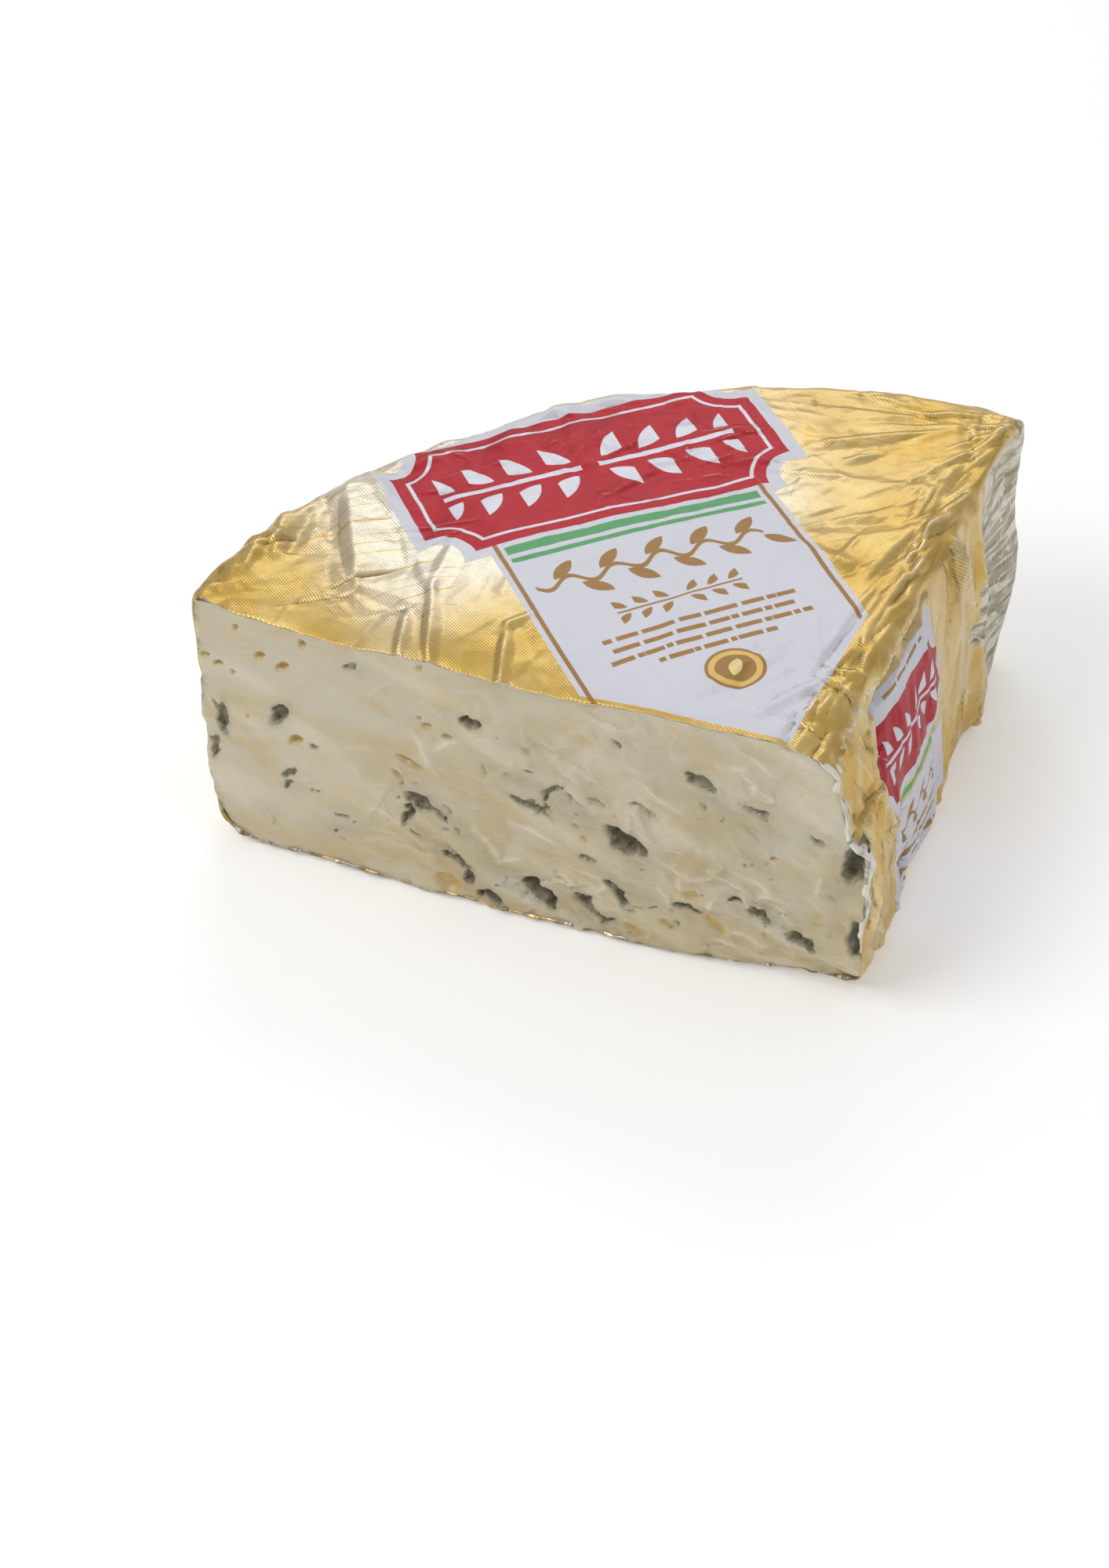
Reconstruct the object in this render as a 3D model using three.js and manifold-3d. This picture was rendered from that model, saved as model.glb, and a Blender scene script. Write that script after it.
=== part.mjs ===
// A wedge of blue cheese in its foil wrapper.
//
// A cheese wheel is split level into two half-height wheels, each half is cut into quarters, and
// each quarter is wrapped in printed foil. One slice has been cut off this quarter, parallel to
// one of its two straight sides, so that side shows bare cheese and the foil closes every other.
//
// Building axes: X runs along the cut face, towards its near corner; Y runs back from the cut
// face along the wrapped side; Z is up. The near corner of the two straight sides is at X = Y = 0.
// At the end the whole group is moved so that the origin is the middle of its underside.
import * as THREE from 'three';
import { mergeVertices } from 'three/addons/utils/BufferGeometryUtils.js';
import Module from 'manifold-3d';

const wasm = await Module();
wasm.setup();

// ---------------------------------------------------------------- driving dimensions, in mm

const wheelRadius = 152; // from the wheel's centre to its rim, where each cut meets the rim
const rimSwell = 8; // how much further out the rim stands halfway round the piece
const rimSwellLean = 0.6; // below 1, the swell is fullest nearer to the wrapped side
const cheeseHeight = 68.5; // half of a whole wheel's height
const rimEdgeRadius = 13; // rounding of the wheel's lower edge
const topEdgeRadius = 2.5; // rounding of its upper edge
const sliceTaken = 20; // thickness of the slice already cut off
const centreOutside = 2; // how far the wheel's centre lies outside the wrapped side

const wallSwell = 11; // how far the soft wrapped side bulges, at the near corner
const wallSwellHeight = 20; // height of the fullest part of that bulge
const wallSwellReach = 110; // how far back along the side the bulge runs out
const wallEdgeRadius = 4; // rounding along the top and the foot of the wrapped side

const toeSetback = 9; // how far the foot of the cut face draws back, at the near corner
const toeHeight = 18; // how high up the face that starts
const toeReach = 70; // how far along the face it runs out

const foilThickness = 0.7; // the wrapper with its folds and air, more than the bare sheet
const foilGap = 0.3; // between the wrapper and the cheese

const rimSegments = 144; // facets right round the wheel
const edgeSegments = 5; // facets across the rounding of an edge
const cutSegments = 16; // facets each way across the two straight cuts

// Holes that open in the cut face. "along" is a share of the face's length from the rim to the
// near corner, "up" a share of its height; length, width and depth are half sizes in mm, and
// tilt turns the long way from level, in degrees, positive up towards the near corner.
const mouldHoles = [
  { along: 0.04, up: 0.54, length: 5.0, width: 1.3, depth: 2.5, tilt: 84 },
  { along: 0.135, up: 0.6, length: 4.4, width: 1.8, depth: 3.0, tilt: 52 },
  { along: 0.145, up: 0.32, length: 1.8, width: 1.0, depth: 1.6, tilt: 20 },
  { along: 0.455, up: 0.77, length: 2.6, width: 1.8, depth: 2.6, tilt: -25 },
  { along: 0.365, up: 0.4, length: 2.8, width: 2.2, depth: 3.0, tilt: -20 },
  { along: 0.347, up: 0.32, length: 3.0, width: 1.1, depth: 2.4, tilt: 80 },
  { along: 0.425, up: 0.165, length: 3.6, width: 1.3, depth: 2.6, tilt: -30 },
  { along: 0.475, up: 0.065, length: 2.8, width: 1.5, depth: 3.0, tilt: -15 },
  { along: 0.56, up: 0.13, length: 4.4, width: 2.2, depth: 4.0, tilt: -24 },
  { along: 0.54, up: 0.51, length: 5.6, width: 1.2, depth: 2.4, tilt: -20 },
  { along: 0.692, up: 0.46, length: 5.0, width: 3.4, depth: 4.5, tilt: -34 },
  { along: 0.69, up: 0.22, length: 3.8, width: 1.6, depth: 3.2, tilt: -48 },
  { along: 0.65, up: 0.11, length: 3.6, width: 1.1, depth: 2.4, tilt: -30 },
  { along: 0.823, up: 0.78, length: 4.6, width: 2.0, depth: 3.0, tilt: -28 },
  { along: 0.917, up: 0.29, length: 2.4, width: 1.6, depth: 2.8, tilt: -70 },
  { along: 0.978, up: 0.23, length: 4.0, width: 2.0, depth: 3.2, tilt: -18 },
  { along: 1.052, up: 0.6, length: 6.0, width: 2.4, depth: 4.5, tilt: 86 },
  { along: 1.06, up: 0.28, length: 5.2, width: 1.9, depth: 4.0, tilt: 84 },
];
const eyeHoles = [
  { along: 0.072, up: 0.92, length: 1.1, width: 0.8, depth: 1.0, tilt: 40 },
  { along: 0.11, up: 0.82, length: 1.5, width: 1.1, depth: 1.5, tilt: 30 },
  { along: 0.148, up: 0.81, length: 1.7, width: 1.2, depth: 1.6, tilt: 25 },
  { along: 0.183, up: 0.92, length: 1.5, width: 1.2, depth: 1.5, tilt: 50 },
  { along: 0.16, up: 0.51, length: 2.1, width: 1.7, depth: 2.2, tilt: 20 },
  { along: 0.385, up: 0.72, length: 1.4, width: 0.9, depth: 1.2, tilt: -20 },
  { along: 0.415, up: 0.685, length: 1.6, width: 1.0, depth: 1.3, tilt: 15 },
  { along: 0.345, up: 0.55, length: 3.0, width: 0.8, depth: 1.4, tilt: -22 },
  { along: 0.405, up: 0.075, length: 3.2, width: 2.0, depth: 2.6, tilt: -25 },
];

// ---------------------------------------------------------------- shapes

const degrees = Math.PI / 180;
const centre = new THREE.Vector2(centreOutside, -sliceTaken); // the wheel's own centre
const faceLength = Math.sqrt(wheelRadius ** 2 - sliceTaken ** 2) - centreOutside;
const sideLength = Math.sqrt(wheelRadius ** 2 - centreOutside ** 2) - sliceTaken;
const reach = wheelRadius + rimSwell + sliceTaken; // past everything, for the cutters

const ramp = (value) => Math.min(1, Math.max(0, value));

// How far the wrapped side stands out of its plane, y back from the cut face and z up.
function wallOffset(y, z) {
  const level = ramp(z / cheeseHeight) * cheeseHeight;
  const fromFullest = (level - wallSwellHeight) / (cheeseHeight - wallSwellHeight);
  return wallSwell * (1 - fromFullest ** 2) * Math.max(0, 1 - y / wallSwellReach);
}

// How far the cut face draws back at its foot, near the near corner.
function toeOffset(x, z) {
  return toeSetback * ramp(1 + x / toeReach) ** 2 * ramp(1 - z / toeHeight) ** 2;
}

// A closed three.js geometry as a manifold-3d solid.
function solidOf(geometry) {
  const bare = geometry.index ? geometry.toNonIndexed() : geometry.clone();
  bare.deleteAttribute('normal');
  bare.deleteAttribute('uv');
  const merged = mergeVertices(bare, 1e-4);
  return new wasm.Manifold(
    new wasm.Mesh({
      numProp: 3,
      vertProperties: new Float32Array(merged.attributes.position.array),
      triVerts: new Uint32Array(merged.index.array),
    }),
  );
}

function geometryOf(solid) {
  const mesh = solid.getMesh();
  const positions = new Float32Array(mesh.numVert * 3);
  for (let i = 0; i < mesh.numVert; i++) {
    const start = i * mesh.numProp;
    positions.set(mesh.vertProperties.subarray(start, start + 3), i * 3);
  }
  const geometry = new THREE.BufferGeometry();
  geometry.setAttribute('position', new THREE.BufferAttribute(positions, 3));
  geometry.setIndex(new THREE.BufferAttribute(mesh.triVerts, 1));
  geometry.computeVertexNormals();
  return geometry;
}

function moveVertices(geometry, place) {
  const position = geometry.attributes.position;
  const point = new THREE.Vector3();
  for (let i = 0; i < position.count; i++) {
    point.fromBufferAttribute(position, i);
    place(point);
    position.setXYZ(i, point.x, point.y, point.z);
  }
  return geometry;
}

// Points round a quarter circle, for the profile of a rounded edge.
function arcPoints(x, y, radius, from, to) {
  return Array.from({ length: edgeSegments + 1 }, (_, i) => {
    const angle = from + ((to - from) * i) / edgeSegments;
    return new THREE.Vector2(x + radius * Math.cos(angle), y + radius * Math.sin(angle));
  });
}

// The half-height wheel, every face of it moved out by grow. Its rim swells between the two cuts.
function wheel(grow) {
  const radius = wheelRadius + grow;
  const foot = rimEdgeRadius + grow;
  const brow = topEdgeRadius + grow;
  const top = cheeseHeight + grow;
  const profile = [
    new THREE.Vector2(0, -grow),
    ...arcPoints(radius - foot, foot - grow, foot, -Math.PI / 2, 0),
    ...arcPoints(radius - brow, top - brow, brow, 0, Math.PI / 2),
    new THREE.Vector2(0, top),
  ];
  const geometry = new THREE.LatheGeometry(profile, rimSegments);
  geometry.rotateX(Math.PI / 2);
  const sideAngle = Math.acos(-centreOutside / wheelRadius);
  const faceAngle = Math.PI - Math.asin(sliceTaken / wheelRadius);
  moveVertices(geometry, (point) => {
    const share = ramp((Math.atan2(point.y, point.x) - sideAngle) / (faceAngle - sideAngle));
    const fullness = Math.sqrt(Math.max(0, Math.sin(Math.PI * share ** rimSwellLean)));
    const swell = 1 + (rimSwell / wheelRadius) * fullness;
    point.x = point.x * swell + centre.x;
    point.y = point.y * swell + centre.y;
  });
  return solidOf(geometry);
}

// The block that the two straight cuts keep. Its right side is the wrapped side moved out by
// grow, and its front is the cut face, moved forward by ahead. Its facets are closest together
// near the top and the foot, where the edges are rounded.
function keptByCuts(grow, ahead = 0) {
  const low = -foilGap - foilThickness;
  const high = cheeseHeight - low;
  const geometry = new THREE.BoxGeometry(1, 1, 1, cutSegments, cutSegments, cutSegments);
  geometry.translate(-0.5, 0.5, 0.5);
  moveVertices(geometry, (point) => {
    const x = point.x * reach;
    const z = THREE.MathUtils.lerp(low, high, (1 - Math.cos(Math.PI * point.z)) / 2);
    const forward = point.y === 0 ? ahead : 0;
    const y = point.y * reach + (1 - point.y) * toeOffset(x, z) - forward;
    const bulge = wallOffset(y, z) + grow - edgeInset(z, grow);
    point.set(x + (1 + point.x) * bulge, y, z);
  });
  return solidOf(geometry);
}

// How far the wrapped side draws in where its top and its foot are rounded off.
function edgeInset(z, grow) {
  const radius = wallEdgeRadius + grow;
  const toEdge = Math.min(z + grow, cheeseHeight + grow - z);
  const short = ramp(1 - toEdge / radius);
  return radius * (1 - Math.sqrt(1 - short ** 2));
}

// A hole of one of the lists above, as the lump of cheese that is missing.
function hole({ along, up, length, width, depth, tilt }) {
  const geometry = new THREE.SphereGeometry(1, 10, 7);
  geometry.scale(length, depth, width);
  geometry.rotateY(-tilt * degrees);
  const x = (along - 1) * faceLength;
  const z = up * cheeseHeight;
  geometry.translate(x, toeOffset(x, z), z);
  return solidOf(geometry);
}

function cheeseSolid() {
  const block = wheel(0).intersect(keptByCuts(0));
  return [...mouldHoles, ...eyeHoles].reduce((rest, spot) => rest.subtract(hole(spot)), block);
}

// The wrapper lies a gap outside the cheese all over, and is open at the cut face.
function wrapperSolid() {
  const inside = foilGap;
  const outside = foilGap + foilThickness;
  const outer = wheel(outside).intersect(keptByCuts(outside));
  const hollow = wheel(inside).intersect(keptByCuts(inside, sliceTaken));
  return outer.subtract(hollow);
}

// ---------------------------------------------------------------- the model

function piece(name, solid, colour, roughness, metalness) {
  const material = new THREE.MeshStandardMaterial({ color: colour, roughness, metalness });
  const mesh = new THREE.Mesh(geometryOf(solid), material);
  mesh.name = name;
  return mesh;
}

const wedge = new THREE.Group();
wedge.add(piece('cheese', cheeseSolid(), 0xd8cdab, 0.55, 0));
wedge.add(piece('foil_wrapper', wrapperSolid(), 0xd9b968, 0.35, 0.9));

const box = new THREE.Box3().setFromObject(wedge);
const middle = box.getCenter(new THREE.Vector3());
for (const mesh of wedge.children) mesh.position.set(-middle.x, -middle.y, -box.min.z);

export default wedge;
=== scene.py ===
"""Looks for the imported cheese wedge: bare cheese in the cut face, printed foil everywhere else.

Shapes are worked out in millimetres on the wedge's own axes, and moved into the frame at the end.
X runs along the cut face, from the rim to the near corner, where it is 0. Y runs back from the cut
face. Z is up from the surface that the wedge stands on. The wheel that the wedge was cut from has
its centre a little outside the wrapped side and a slice's thickness in front of the cut face.
"""

import itertools
import math

import bmesh
import bpy
import numpy as np
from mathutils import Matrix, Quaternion, Vector


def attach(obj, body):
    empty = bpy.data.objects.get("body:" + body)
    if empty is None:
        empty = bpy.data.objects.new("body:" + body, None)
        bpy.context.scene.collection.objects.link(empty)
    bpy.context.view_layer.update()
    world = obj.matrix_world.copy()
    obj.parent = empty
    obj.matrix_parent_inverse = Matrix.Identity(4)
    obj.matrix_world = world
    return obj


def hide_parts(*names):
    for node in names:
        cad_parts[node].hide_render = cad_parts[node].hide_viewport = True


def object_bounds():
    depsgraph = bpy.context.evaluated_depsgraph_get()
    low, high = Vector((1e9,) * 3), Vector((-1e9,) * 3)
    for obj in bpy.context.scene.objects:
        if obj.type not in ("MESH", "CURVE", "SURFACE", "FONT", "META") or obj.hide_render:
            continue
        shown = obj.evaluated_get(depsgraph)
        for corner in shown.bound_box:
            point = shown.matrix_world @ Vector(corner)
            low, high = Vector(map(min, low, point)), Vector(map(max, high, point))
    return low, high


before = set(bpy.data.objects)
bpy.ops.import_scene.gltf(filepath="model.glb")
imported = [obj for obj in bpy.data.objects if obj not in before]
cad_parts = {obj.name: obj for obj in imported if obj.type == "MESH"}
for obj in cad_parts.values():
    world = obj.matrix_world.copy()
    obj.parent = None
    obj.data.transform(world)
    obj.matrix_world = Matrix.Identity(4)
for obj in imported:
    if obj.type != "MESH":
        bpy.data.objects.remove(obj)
cad_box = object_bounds()

MM = 0.001
SEED = 7

# ---------------------------------------------------------------- sizes, in mm

HEIGHT = (cad_box[1].z - cad_box[0].z) / MM
WHEEL_RADIUS = 153.0
RIM_SWELL = 8.0
RIM_LEAN = 0.6
SLICE = 20.0
CENTRE_X = 2.0
RIM_FOOT = 14.0  # rounding of the rim's lower edge
RIM_BROW = 4.0  # and of its upper edge
WALL_SWELL = 12.0
WALL_SWELL_HEIGHT = 21.0
WALL_SWELL_REACH = 111.0
WALL_EDGE = 4.5
TOE_SETBACK = 9.0
TOE_HEIGHT = 19.0
TOE_REACH = 70.0
# How far the side stands out at the cut, by height: the foil has slipped down in a fold there.
NEAR_EDGE = (
    (0, 7.5),
    (6, 9.6),
    (20, 11.0),
    (36, 11.2),
    (44.5, 10.8),
    (48.5, 6.8),
    (56, 5.6),
    (63, 4.6),
    (71, -0.8),
)
NEAR_EDGE_REACH = 9.0  # how far back that shape fades out
LIP = 0.3  # how far the foil's edge turns in at the cut
TORN_LIP = 0.6  # and how much further where it is torn
FOIL_SAG = ((-150, 0.8), (-142, 3.0), (-130, 4.2), (-62, 3.9), (-40, 2.2), (-8, 1.4), (2, 2.6))
FOIL_SAG_REACH = 9.0  # how far back from the cut the foil's top has sunk

FACE_LEFT = CENTRE_X - math.sqrt(WHEEL_RADIUS**2 - SLICE**2)  # where the cut meets the rim
# The rim runs between these angles about the wheel's centre, from the wrapped side to the cut.
SIDE_ANGLE = math.acos(-CENTRE_X / WHEEL_RADIUS)
FACE_ANGLE = math.pi - math.asin(SLICE / WHEEL_RADIUS)
MIDDLE = np.array([-65.0, 45.0, HEIGHT / 2])  # a point well inside, seen by the whole surface

ORIGIN = np.array([cad_box[1].x - WALL_SWELL * MM, cad_box[0].y, cad_box[0].z])


def to_frame(points):
    """Wedge millimetres to frame metres."""
    return np.asarray(points) * MM + ORIGIN


# ---------------------------------------------------------------- number helpers

FAR_CELLS = 1000.0  # shifts a noise's grid so that no place on the wedge is near its origin

def ramp(value, low=0.0, high=1.0):
    """0 at low, 1 at high, eased in between."""
    share = np.clip((value - low) / (high - low), 0, 1)
    return share * share * (3 - 2 * share)


def bump_at(value, middle, width):
    """1 at middle, fading to nothing about two widths away."""
    return np.exp(-(((value - middle) / width) ** 2))


def turned(u, v, angle):
    """The same place on axes turned by angle (radians)."""
    return u * math.cos(angle) + v * math.sin(angle), v * math.cos(angle) - u * math.sin(angle)


def random(seed):
    """A fresh source of random numbers, the same each run."""
    return np.random.default_rng(SEED * 1000 + seed)


def noise(points, size, seed):
    """Smooth noise from -1 to 1 at each point. Its lumps are about size apart."""
    count = 32
    table = random(seed).uniform(-1, 1, (count,) * 3)
    place = np.asarray(points) / size + FAR_CELLS
    cell = np.floor(place).astype(int)
    part = place - cell
    part = part * part * (3 - 2 * part)
    total = np.zeros(len(place))
    for corner in itertools.product((0, 1), repeat=3):
        weight = np.prod(np.where(corner, part, 1 - part), axis=1)
        spot = (cell + corner) % count
        total += weight * table[spot[:, 0], spot[:, 1], spot[:, 2]]
    return total


def flat_noise(u, v, size, seed, stretch=1.0, angle=0.0):
    """Noise over a flat chart, its lumps drawn out along angle (radians) by stretch."""
    along, across = turned(u, v, angle)
    points = np.column_stack([along / stretch, across, np.full(len(u), 0.5)])
    return noise(points, size, seed)


def facets(u, v, size, seed, stretch=1.0, angle=0.0):
    """Height from -1 to 1 over a net of flat triangles about size across, as in crushed foil."""
    count = 64
    rng = random(seed)
    shift_u, shift_v = rng.uniform(-0.25, 0.25, (2, count, count))
    rises = rng.uniform(-1, 1, (count, count))
    flips = rng.random((count, count)) < 0.5
    along, across = turned(u, v, angle)
    place_u, place_v = along / (stretch * size) + FAR_CELLS, across / size + FAR_CELLS
    column, row = np.floor(place_u).astype(int), np.floor(place_v).astype(int)
    ring = ((0, 0), (1, 0), (1, 1), (0, 1), (0, 0))
    height = np.zeros(len(place_u))
    for step in itertools.product((-1, 0, 1), repeat=2):
        flip = flips[(column + step[0]) % count, (row + step[1]) % count]
        corners = []
        for here, following in zip(ring, ring[1:]):
            at_u = column + step[0] + np.where(flip, following[0], here[0])
            at_v = row + step[1] + np.where(flip, following[1], here[1])
            spot = (at_u % count, at_v % count)
            off_u, off_v = at_u + shift_u[spot] - place_u, at_v + shift_v[spot] - place_v
            corners.append((off_u, off_v, rises[spot]))
        for second, third in ((1, 2), (2, 3)):
            au, av, rise_a = corners[0]
            bu, bv, rise_b = corners[second]
            cu, cv, rise_c = corners[third]
            area = (bu - au) * (cv - av) - (cu - au) * (bv - av)
            share_b = (av * (cu - au) - au * (cv - av)) / area
            share_c = (au * (bv - av) - av * (bu - au)) / area
            inside = (share_b >= 0) & (share_c >= 0) & (share_b + share_c <= 1)
            flat = rise_a + share_b * (rise_b - rise_a) + share_c * (rise_c - rise_a)
            height = np.where(inside, flat, height)
    return height


# ---------------------------------------------------------------- the wedge's outline


def rim_radius(angle):
    share = np.clip((angle - SIDE_ANGLE) / (FACE_ANGLE - SIDE_ANGLE), 0, 1)
    return WHEEL_RADIUS + RIM_SWELL * np.sqrt(np.abs(np.sin(np.pi * share**RIM_LEAN)))


def wall_offset(y, z):
    level = np.clip(z, 0, HEIGHT)
    from_fullest = (level - WALL_SWELL_HEIGHT) / (HEIGHT - WALL_SWELL_HEIGHT)
    swell = WALL_SWELL * (1 - from_fullest**2) * np.maximum(0, 1 - y / WALL_SWELL_REACH)
    near = np.interp(level, *zip(*NEAR_EDGE))
    share = np.exp(-((np.maximum(y, 0) / NEAR_EDGE_REACH) ** 2))
    return swell + (near - swell) * share


def toe_offset(x, z):
    reach = np.clip(1 + x / TOE_REACH, 0, 1)
    return TOE_SETBACK * reach**2 * np.clip(1 - z / TOE_HEIGHT, 0, 1) ** 2


def top_height(x, y):
    places, depths = zip(*FOIL_SAG)
    return HEIGHT - np.interp(x, places, depths) * np.exp(-np.maximum(y, 0) / FOIL_SAG_REACH)


def rounded(a, b, radius):
    """Inside both limits at once, with the edge where they meet rounded off."""
    over = np.hypot(np.maximum(a + radius, 0), np.maximum(b + radius, 0))
    return np.minimum(np.maximum(a, b), -radius) + over


def outside(points):
    """How far each point is outside the wrapped wedge. The cut face isn't a limit here."""
    x, y, z = np.asarray(points).T
    along, back = x - CENTRE_X, y + SLICE
    rim = np.hypot(along, back) - rim_radius(np.arctan2(back, along))
    rim = rounded(rounded(rim, -z, RIM_FOOT), z - top_height(x, y), RIM_BROW)
    wall = rounded(x - wall_offset(y, z), -z, WALL_EDGE)
    return rounded(rim, wall, WALL_EDGE)


def slope(points, reach=0.05):
    """Which way is outward, by how fast outside() grows."""
    steps = np.eye(3) * reach
    return np.column_stack(
        [(outside(points + step) - outside(points - step)) / (2 * reach) for step in steps]
    )


HALVINGS = 26  # of a ray, to find where it leaves a shape


def surface_along(start, directions, limit, reach=260.0):
    """Where rays from start leave the shape for which limit(points) is negative."""
    near, far = np.zeros(len(directions)), np.full(len(directions), reach)
    for _ in range(HALVINGS):
        half = (near + far) / 2
        inside = limit(start + directions * half[:, None]) < 0
        near = np.where(inside, half, near)
        far = np.where(inside, far, half)
    return start + directions * near[:, None]


# ---------------------------------------------------------------- meshes


def add_object(name, data):
    obj = bpy.data.objects.new(name, data)
    bpy.context.scene.collection.objects.link(obj)
    return obj


def mesh_object(name, points, faces, attributes):
    """A smooth mesh in the frame, from points in wedge millimetres."""
    mesh = bpy.data.meshes.new(name)
    mesh.from_pydata(to_frame(points).tolist(), [], faces)
    for key, values in attributes.items():
        values = np.asarray(values, dtype=np.float32)
        kind, field = ("FLOAT_VECTOR", "vector") if values.ndim == 2 else ("FLOAT", "value")
        mesh.attributes.new(key, kind, "POINT").data.foreach_set(field, values.ravel())
    mesh.shade_smooth()
    mesh.update()
    return add_object(name, mesh)


def grid_faces(index):
    """Quads over a grid of point numbers."""
    quads = [index[:-1, :-1], index[:-1, 1:], index[1:, 1:], index[1:, :-1]]
    return np.stack(quads, axis=-1).reshape(-1, 4).tolist()


# ---------------------------------------------------------------- foil: the bare sheet

RELIEF_AT_CUT = 0.75  # share of the creases' height that is left where the knife pressed
FRONT_SPARE = 10.0  # how far the block runs on in front of the cut, before it is trimmed
BLOCK_LEVELS = (0.4, 3, 8, 14, 24, 36, 48, 60, 67, HEIGHT - 0.4)
BLOCK_SPOKES = 240  # points round the block at each level
FOIL_CELL = 1.12  # the sheet's mesh, before the top and the side are made twice as fine
FINE_TOP = 9  # how far down from the top it is made finer
FINE_SIDE = 7  # and how far in from the near corner
SNAP_STEPS = 4  # to bring the even mesh onto the outline
FOLD_ROUND = 0.18  # how sharply the foil bends along a fold
RIM_FOLD_ROUND = 0.9  # the same on the rim, where the mesh is coarser
FAN_SPREAD = 9  # degrees by which fanned folds stray from straight out
TUCK = 4.0  # how far back the turned-in edge runs


def foil_block():
    """A closed block with the wrapped wedge's outline, as a start for an even mesh."""

    def past_block(points):
        return np.maximum(outside(points), -points[:, 1] - FRONT_SPARE)

    angles = np.linspace(0, 2 * math.pi, BLOCK_SPOKES, endpoint=False)
    flat = np.column_stack([np.cos(angles), np.sin(angles), np.zeros(BLOCK_SPOKES)])
    points = []
    for level in BLOCK_LEVELS:
        points.extend(surface_along(np.array([*MIDDLE[:2], level]), flat, past_block))
    rings = np.arange(len(points)).reshape(-1, BLOCK_SPOKES)
    faces = grid_faces(np.column_stack([rings, rings[:, 0]]))
    faces.extend([rings[0, ::-1].tolist(), rings[-1].tolist()])
    mesh = bpy.data.meshes.new("foil_block")
    mesh.from_pydata([tuple(point) for point in points], [], faces)
    return mesh


def foil_base():
    """The smooth sheet: its points, its outward directions and its faces, open at the cut."""
    block = add_object("foil_block", foil_block())
    remesh = block.modifiers.new("even", "REMESH")
    remesh.mode = "VOXEL"
    remesh.voxel_size = FOIL_CELL
    remeshed = block.evaluated_get(bpy.context.evaluated_depsgraph_get())
    bm = bmesh.new()
    bm.from_mesh(remeshed.to_mesh())
    remeshed.to_mesh_clear()
    bpy.data.objects.remove(block)
    everything = bm.verts[:] + bm.edges[:] + bm.faces[:]
    bmesh.ops.bisect_plane(
        bm, geom=everything, plane_co=(0, 0, 0), plane_no=(0, -1, 0), clear_outer=True
    )
    near_cut = [vert for vert in bm.verts if vert.co.y < FOIL_CELL]
    bmesh.ops.remove_doubles(bm, verts=near_cut, dist=FOIL_CELL * 0.3)
    fine = set()
    for face in bm.faces:
        middle = face.calc_center_median()
        if middle.z > HEIGHT - FINE_TOP or middle.x > -FINE_SIDE:
            fine.update(face.edges)
    bmesh.ops.subdivide_edges(bm, edges=list(fine), cuts=1, use_grid_fill=True)
    bm.verts.index_update()
    points = np.array([vert.co for vert in bm.verts])
    at_cut = points[:, 1] < 1e-3
    for _ in range(SNAP_STEPS):
        grow = slope(points)
        grow[at_cut, 1] = 0
        length = np.maximum(np.sum(grow * grow, axis=1), 0.25)
        points -= grow * (outside(points) / length)[:, None]
    outward = slope(points)
    outward /= np.linalg.norm(outward, axis=1)[:, None]
    faces = [tuple(vert.index for vert in face.verts) for face in bm.faces]
    edge = []
    for line in bm.edges:
        if line.is_boundary:
            corner = line.link_loops[0]
            edge.append((corner.vert.index, corner.link_loop_next.vert.index))
    bm.free()
    return points, outward, faces, edge


# ---------------------------------------------------------------- foil: creases and folds


def folds(u, v, lines, soft=FOLD_ROUND):
    """Height of flat-sided folds. A line is (u, v, degrees, length, rise, left width, right width)."""
    height = np.zeros(len(u))
    for middle_u, middle_v, degrees, length, rise, left, right in lines:
        along, across = turned(u - middle_u, v - middle_v, math.radians(degrees))
        close = (np.abs(along) < length / 2) & (np.abs(across) < max(left, right))
        taper = 1 - np.abs(2 * along[close] / length) ** 1.5
        width = np.where(across[close] > 0, left, right) * (0.35 + 0.65 * taper)
        away = np.hypot(across[close], soft) - soft
        height[close] += rise * taper * np.maximum(0, 1 - away / width)
    return height


def one_fold(rng, u, v, degrees, lengths, rises, widths):
    """A fold that is as likely pressed in as raised. degrees is a mean and a spread."""
    rise = rng.uniform(*rises) * rng.choice((-1, 1))
    sides = rng.permutation((1.0, rng.uniform(1.5, 4.0))) * rng.uniform(*widths)
    return (u, v, rng.normal(*degrees), rng.uniform(*lengths), rise, *sides)


def strewn_folds(seed, count, area, *ranges):
    """Folds strewn over an area (u0, v0, u1, v1)."""
    rng = random(seed)
    lines = []
    for _ in range(count):
        u, v = rng.uniform(area[0], area[2]), rng.uniform(area[1], area[3])
        lines.append(one_fold(rng, u, v, *ranges))
    return lines


def fanned_folds(seed, count, corner, headings, distances, *ranges):
    """Folds that run out from a pinched corner, between two headings in degrees."""
    rng = random(seed)
    lines = []
    for _ in range(count):
        heading, away = rng.uniform(*headings), rng.uniform(*distances)
        u = corner[0] + away * math.cos(math.radians(heading))
        v = corner[1] + away * math.sin(math.radians(heading))
        lines.append(one_fold(rng, u, v, (heading, FAN_SPREAD), *ranges))
    return lines


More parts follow.
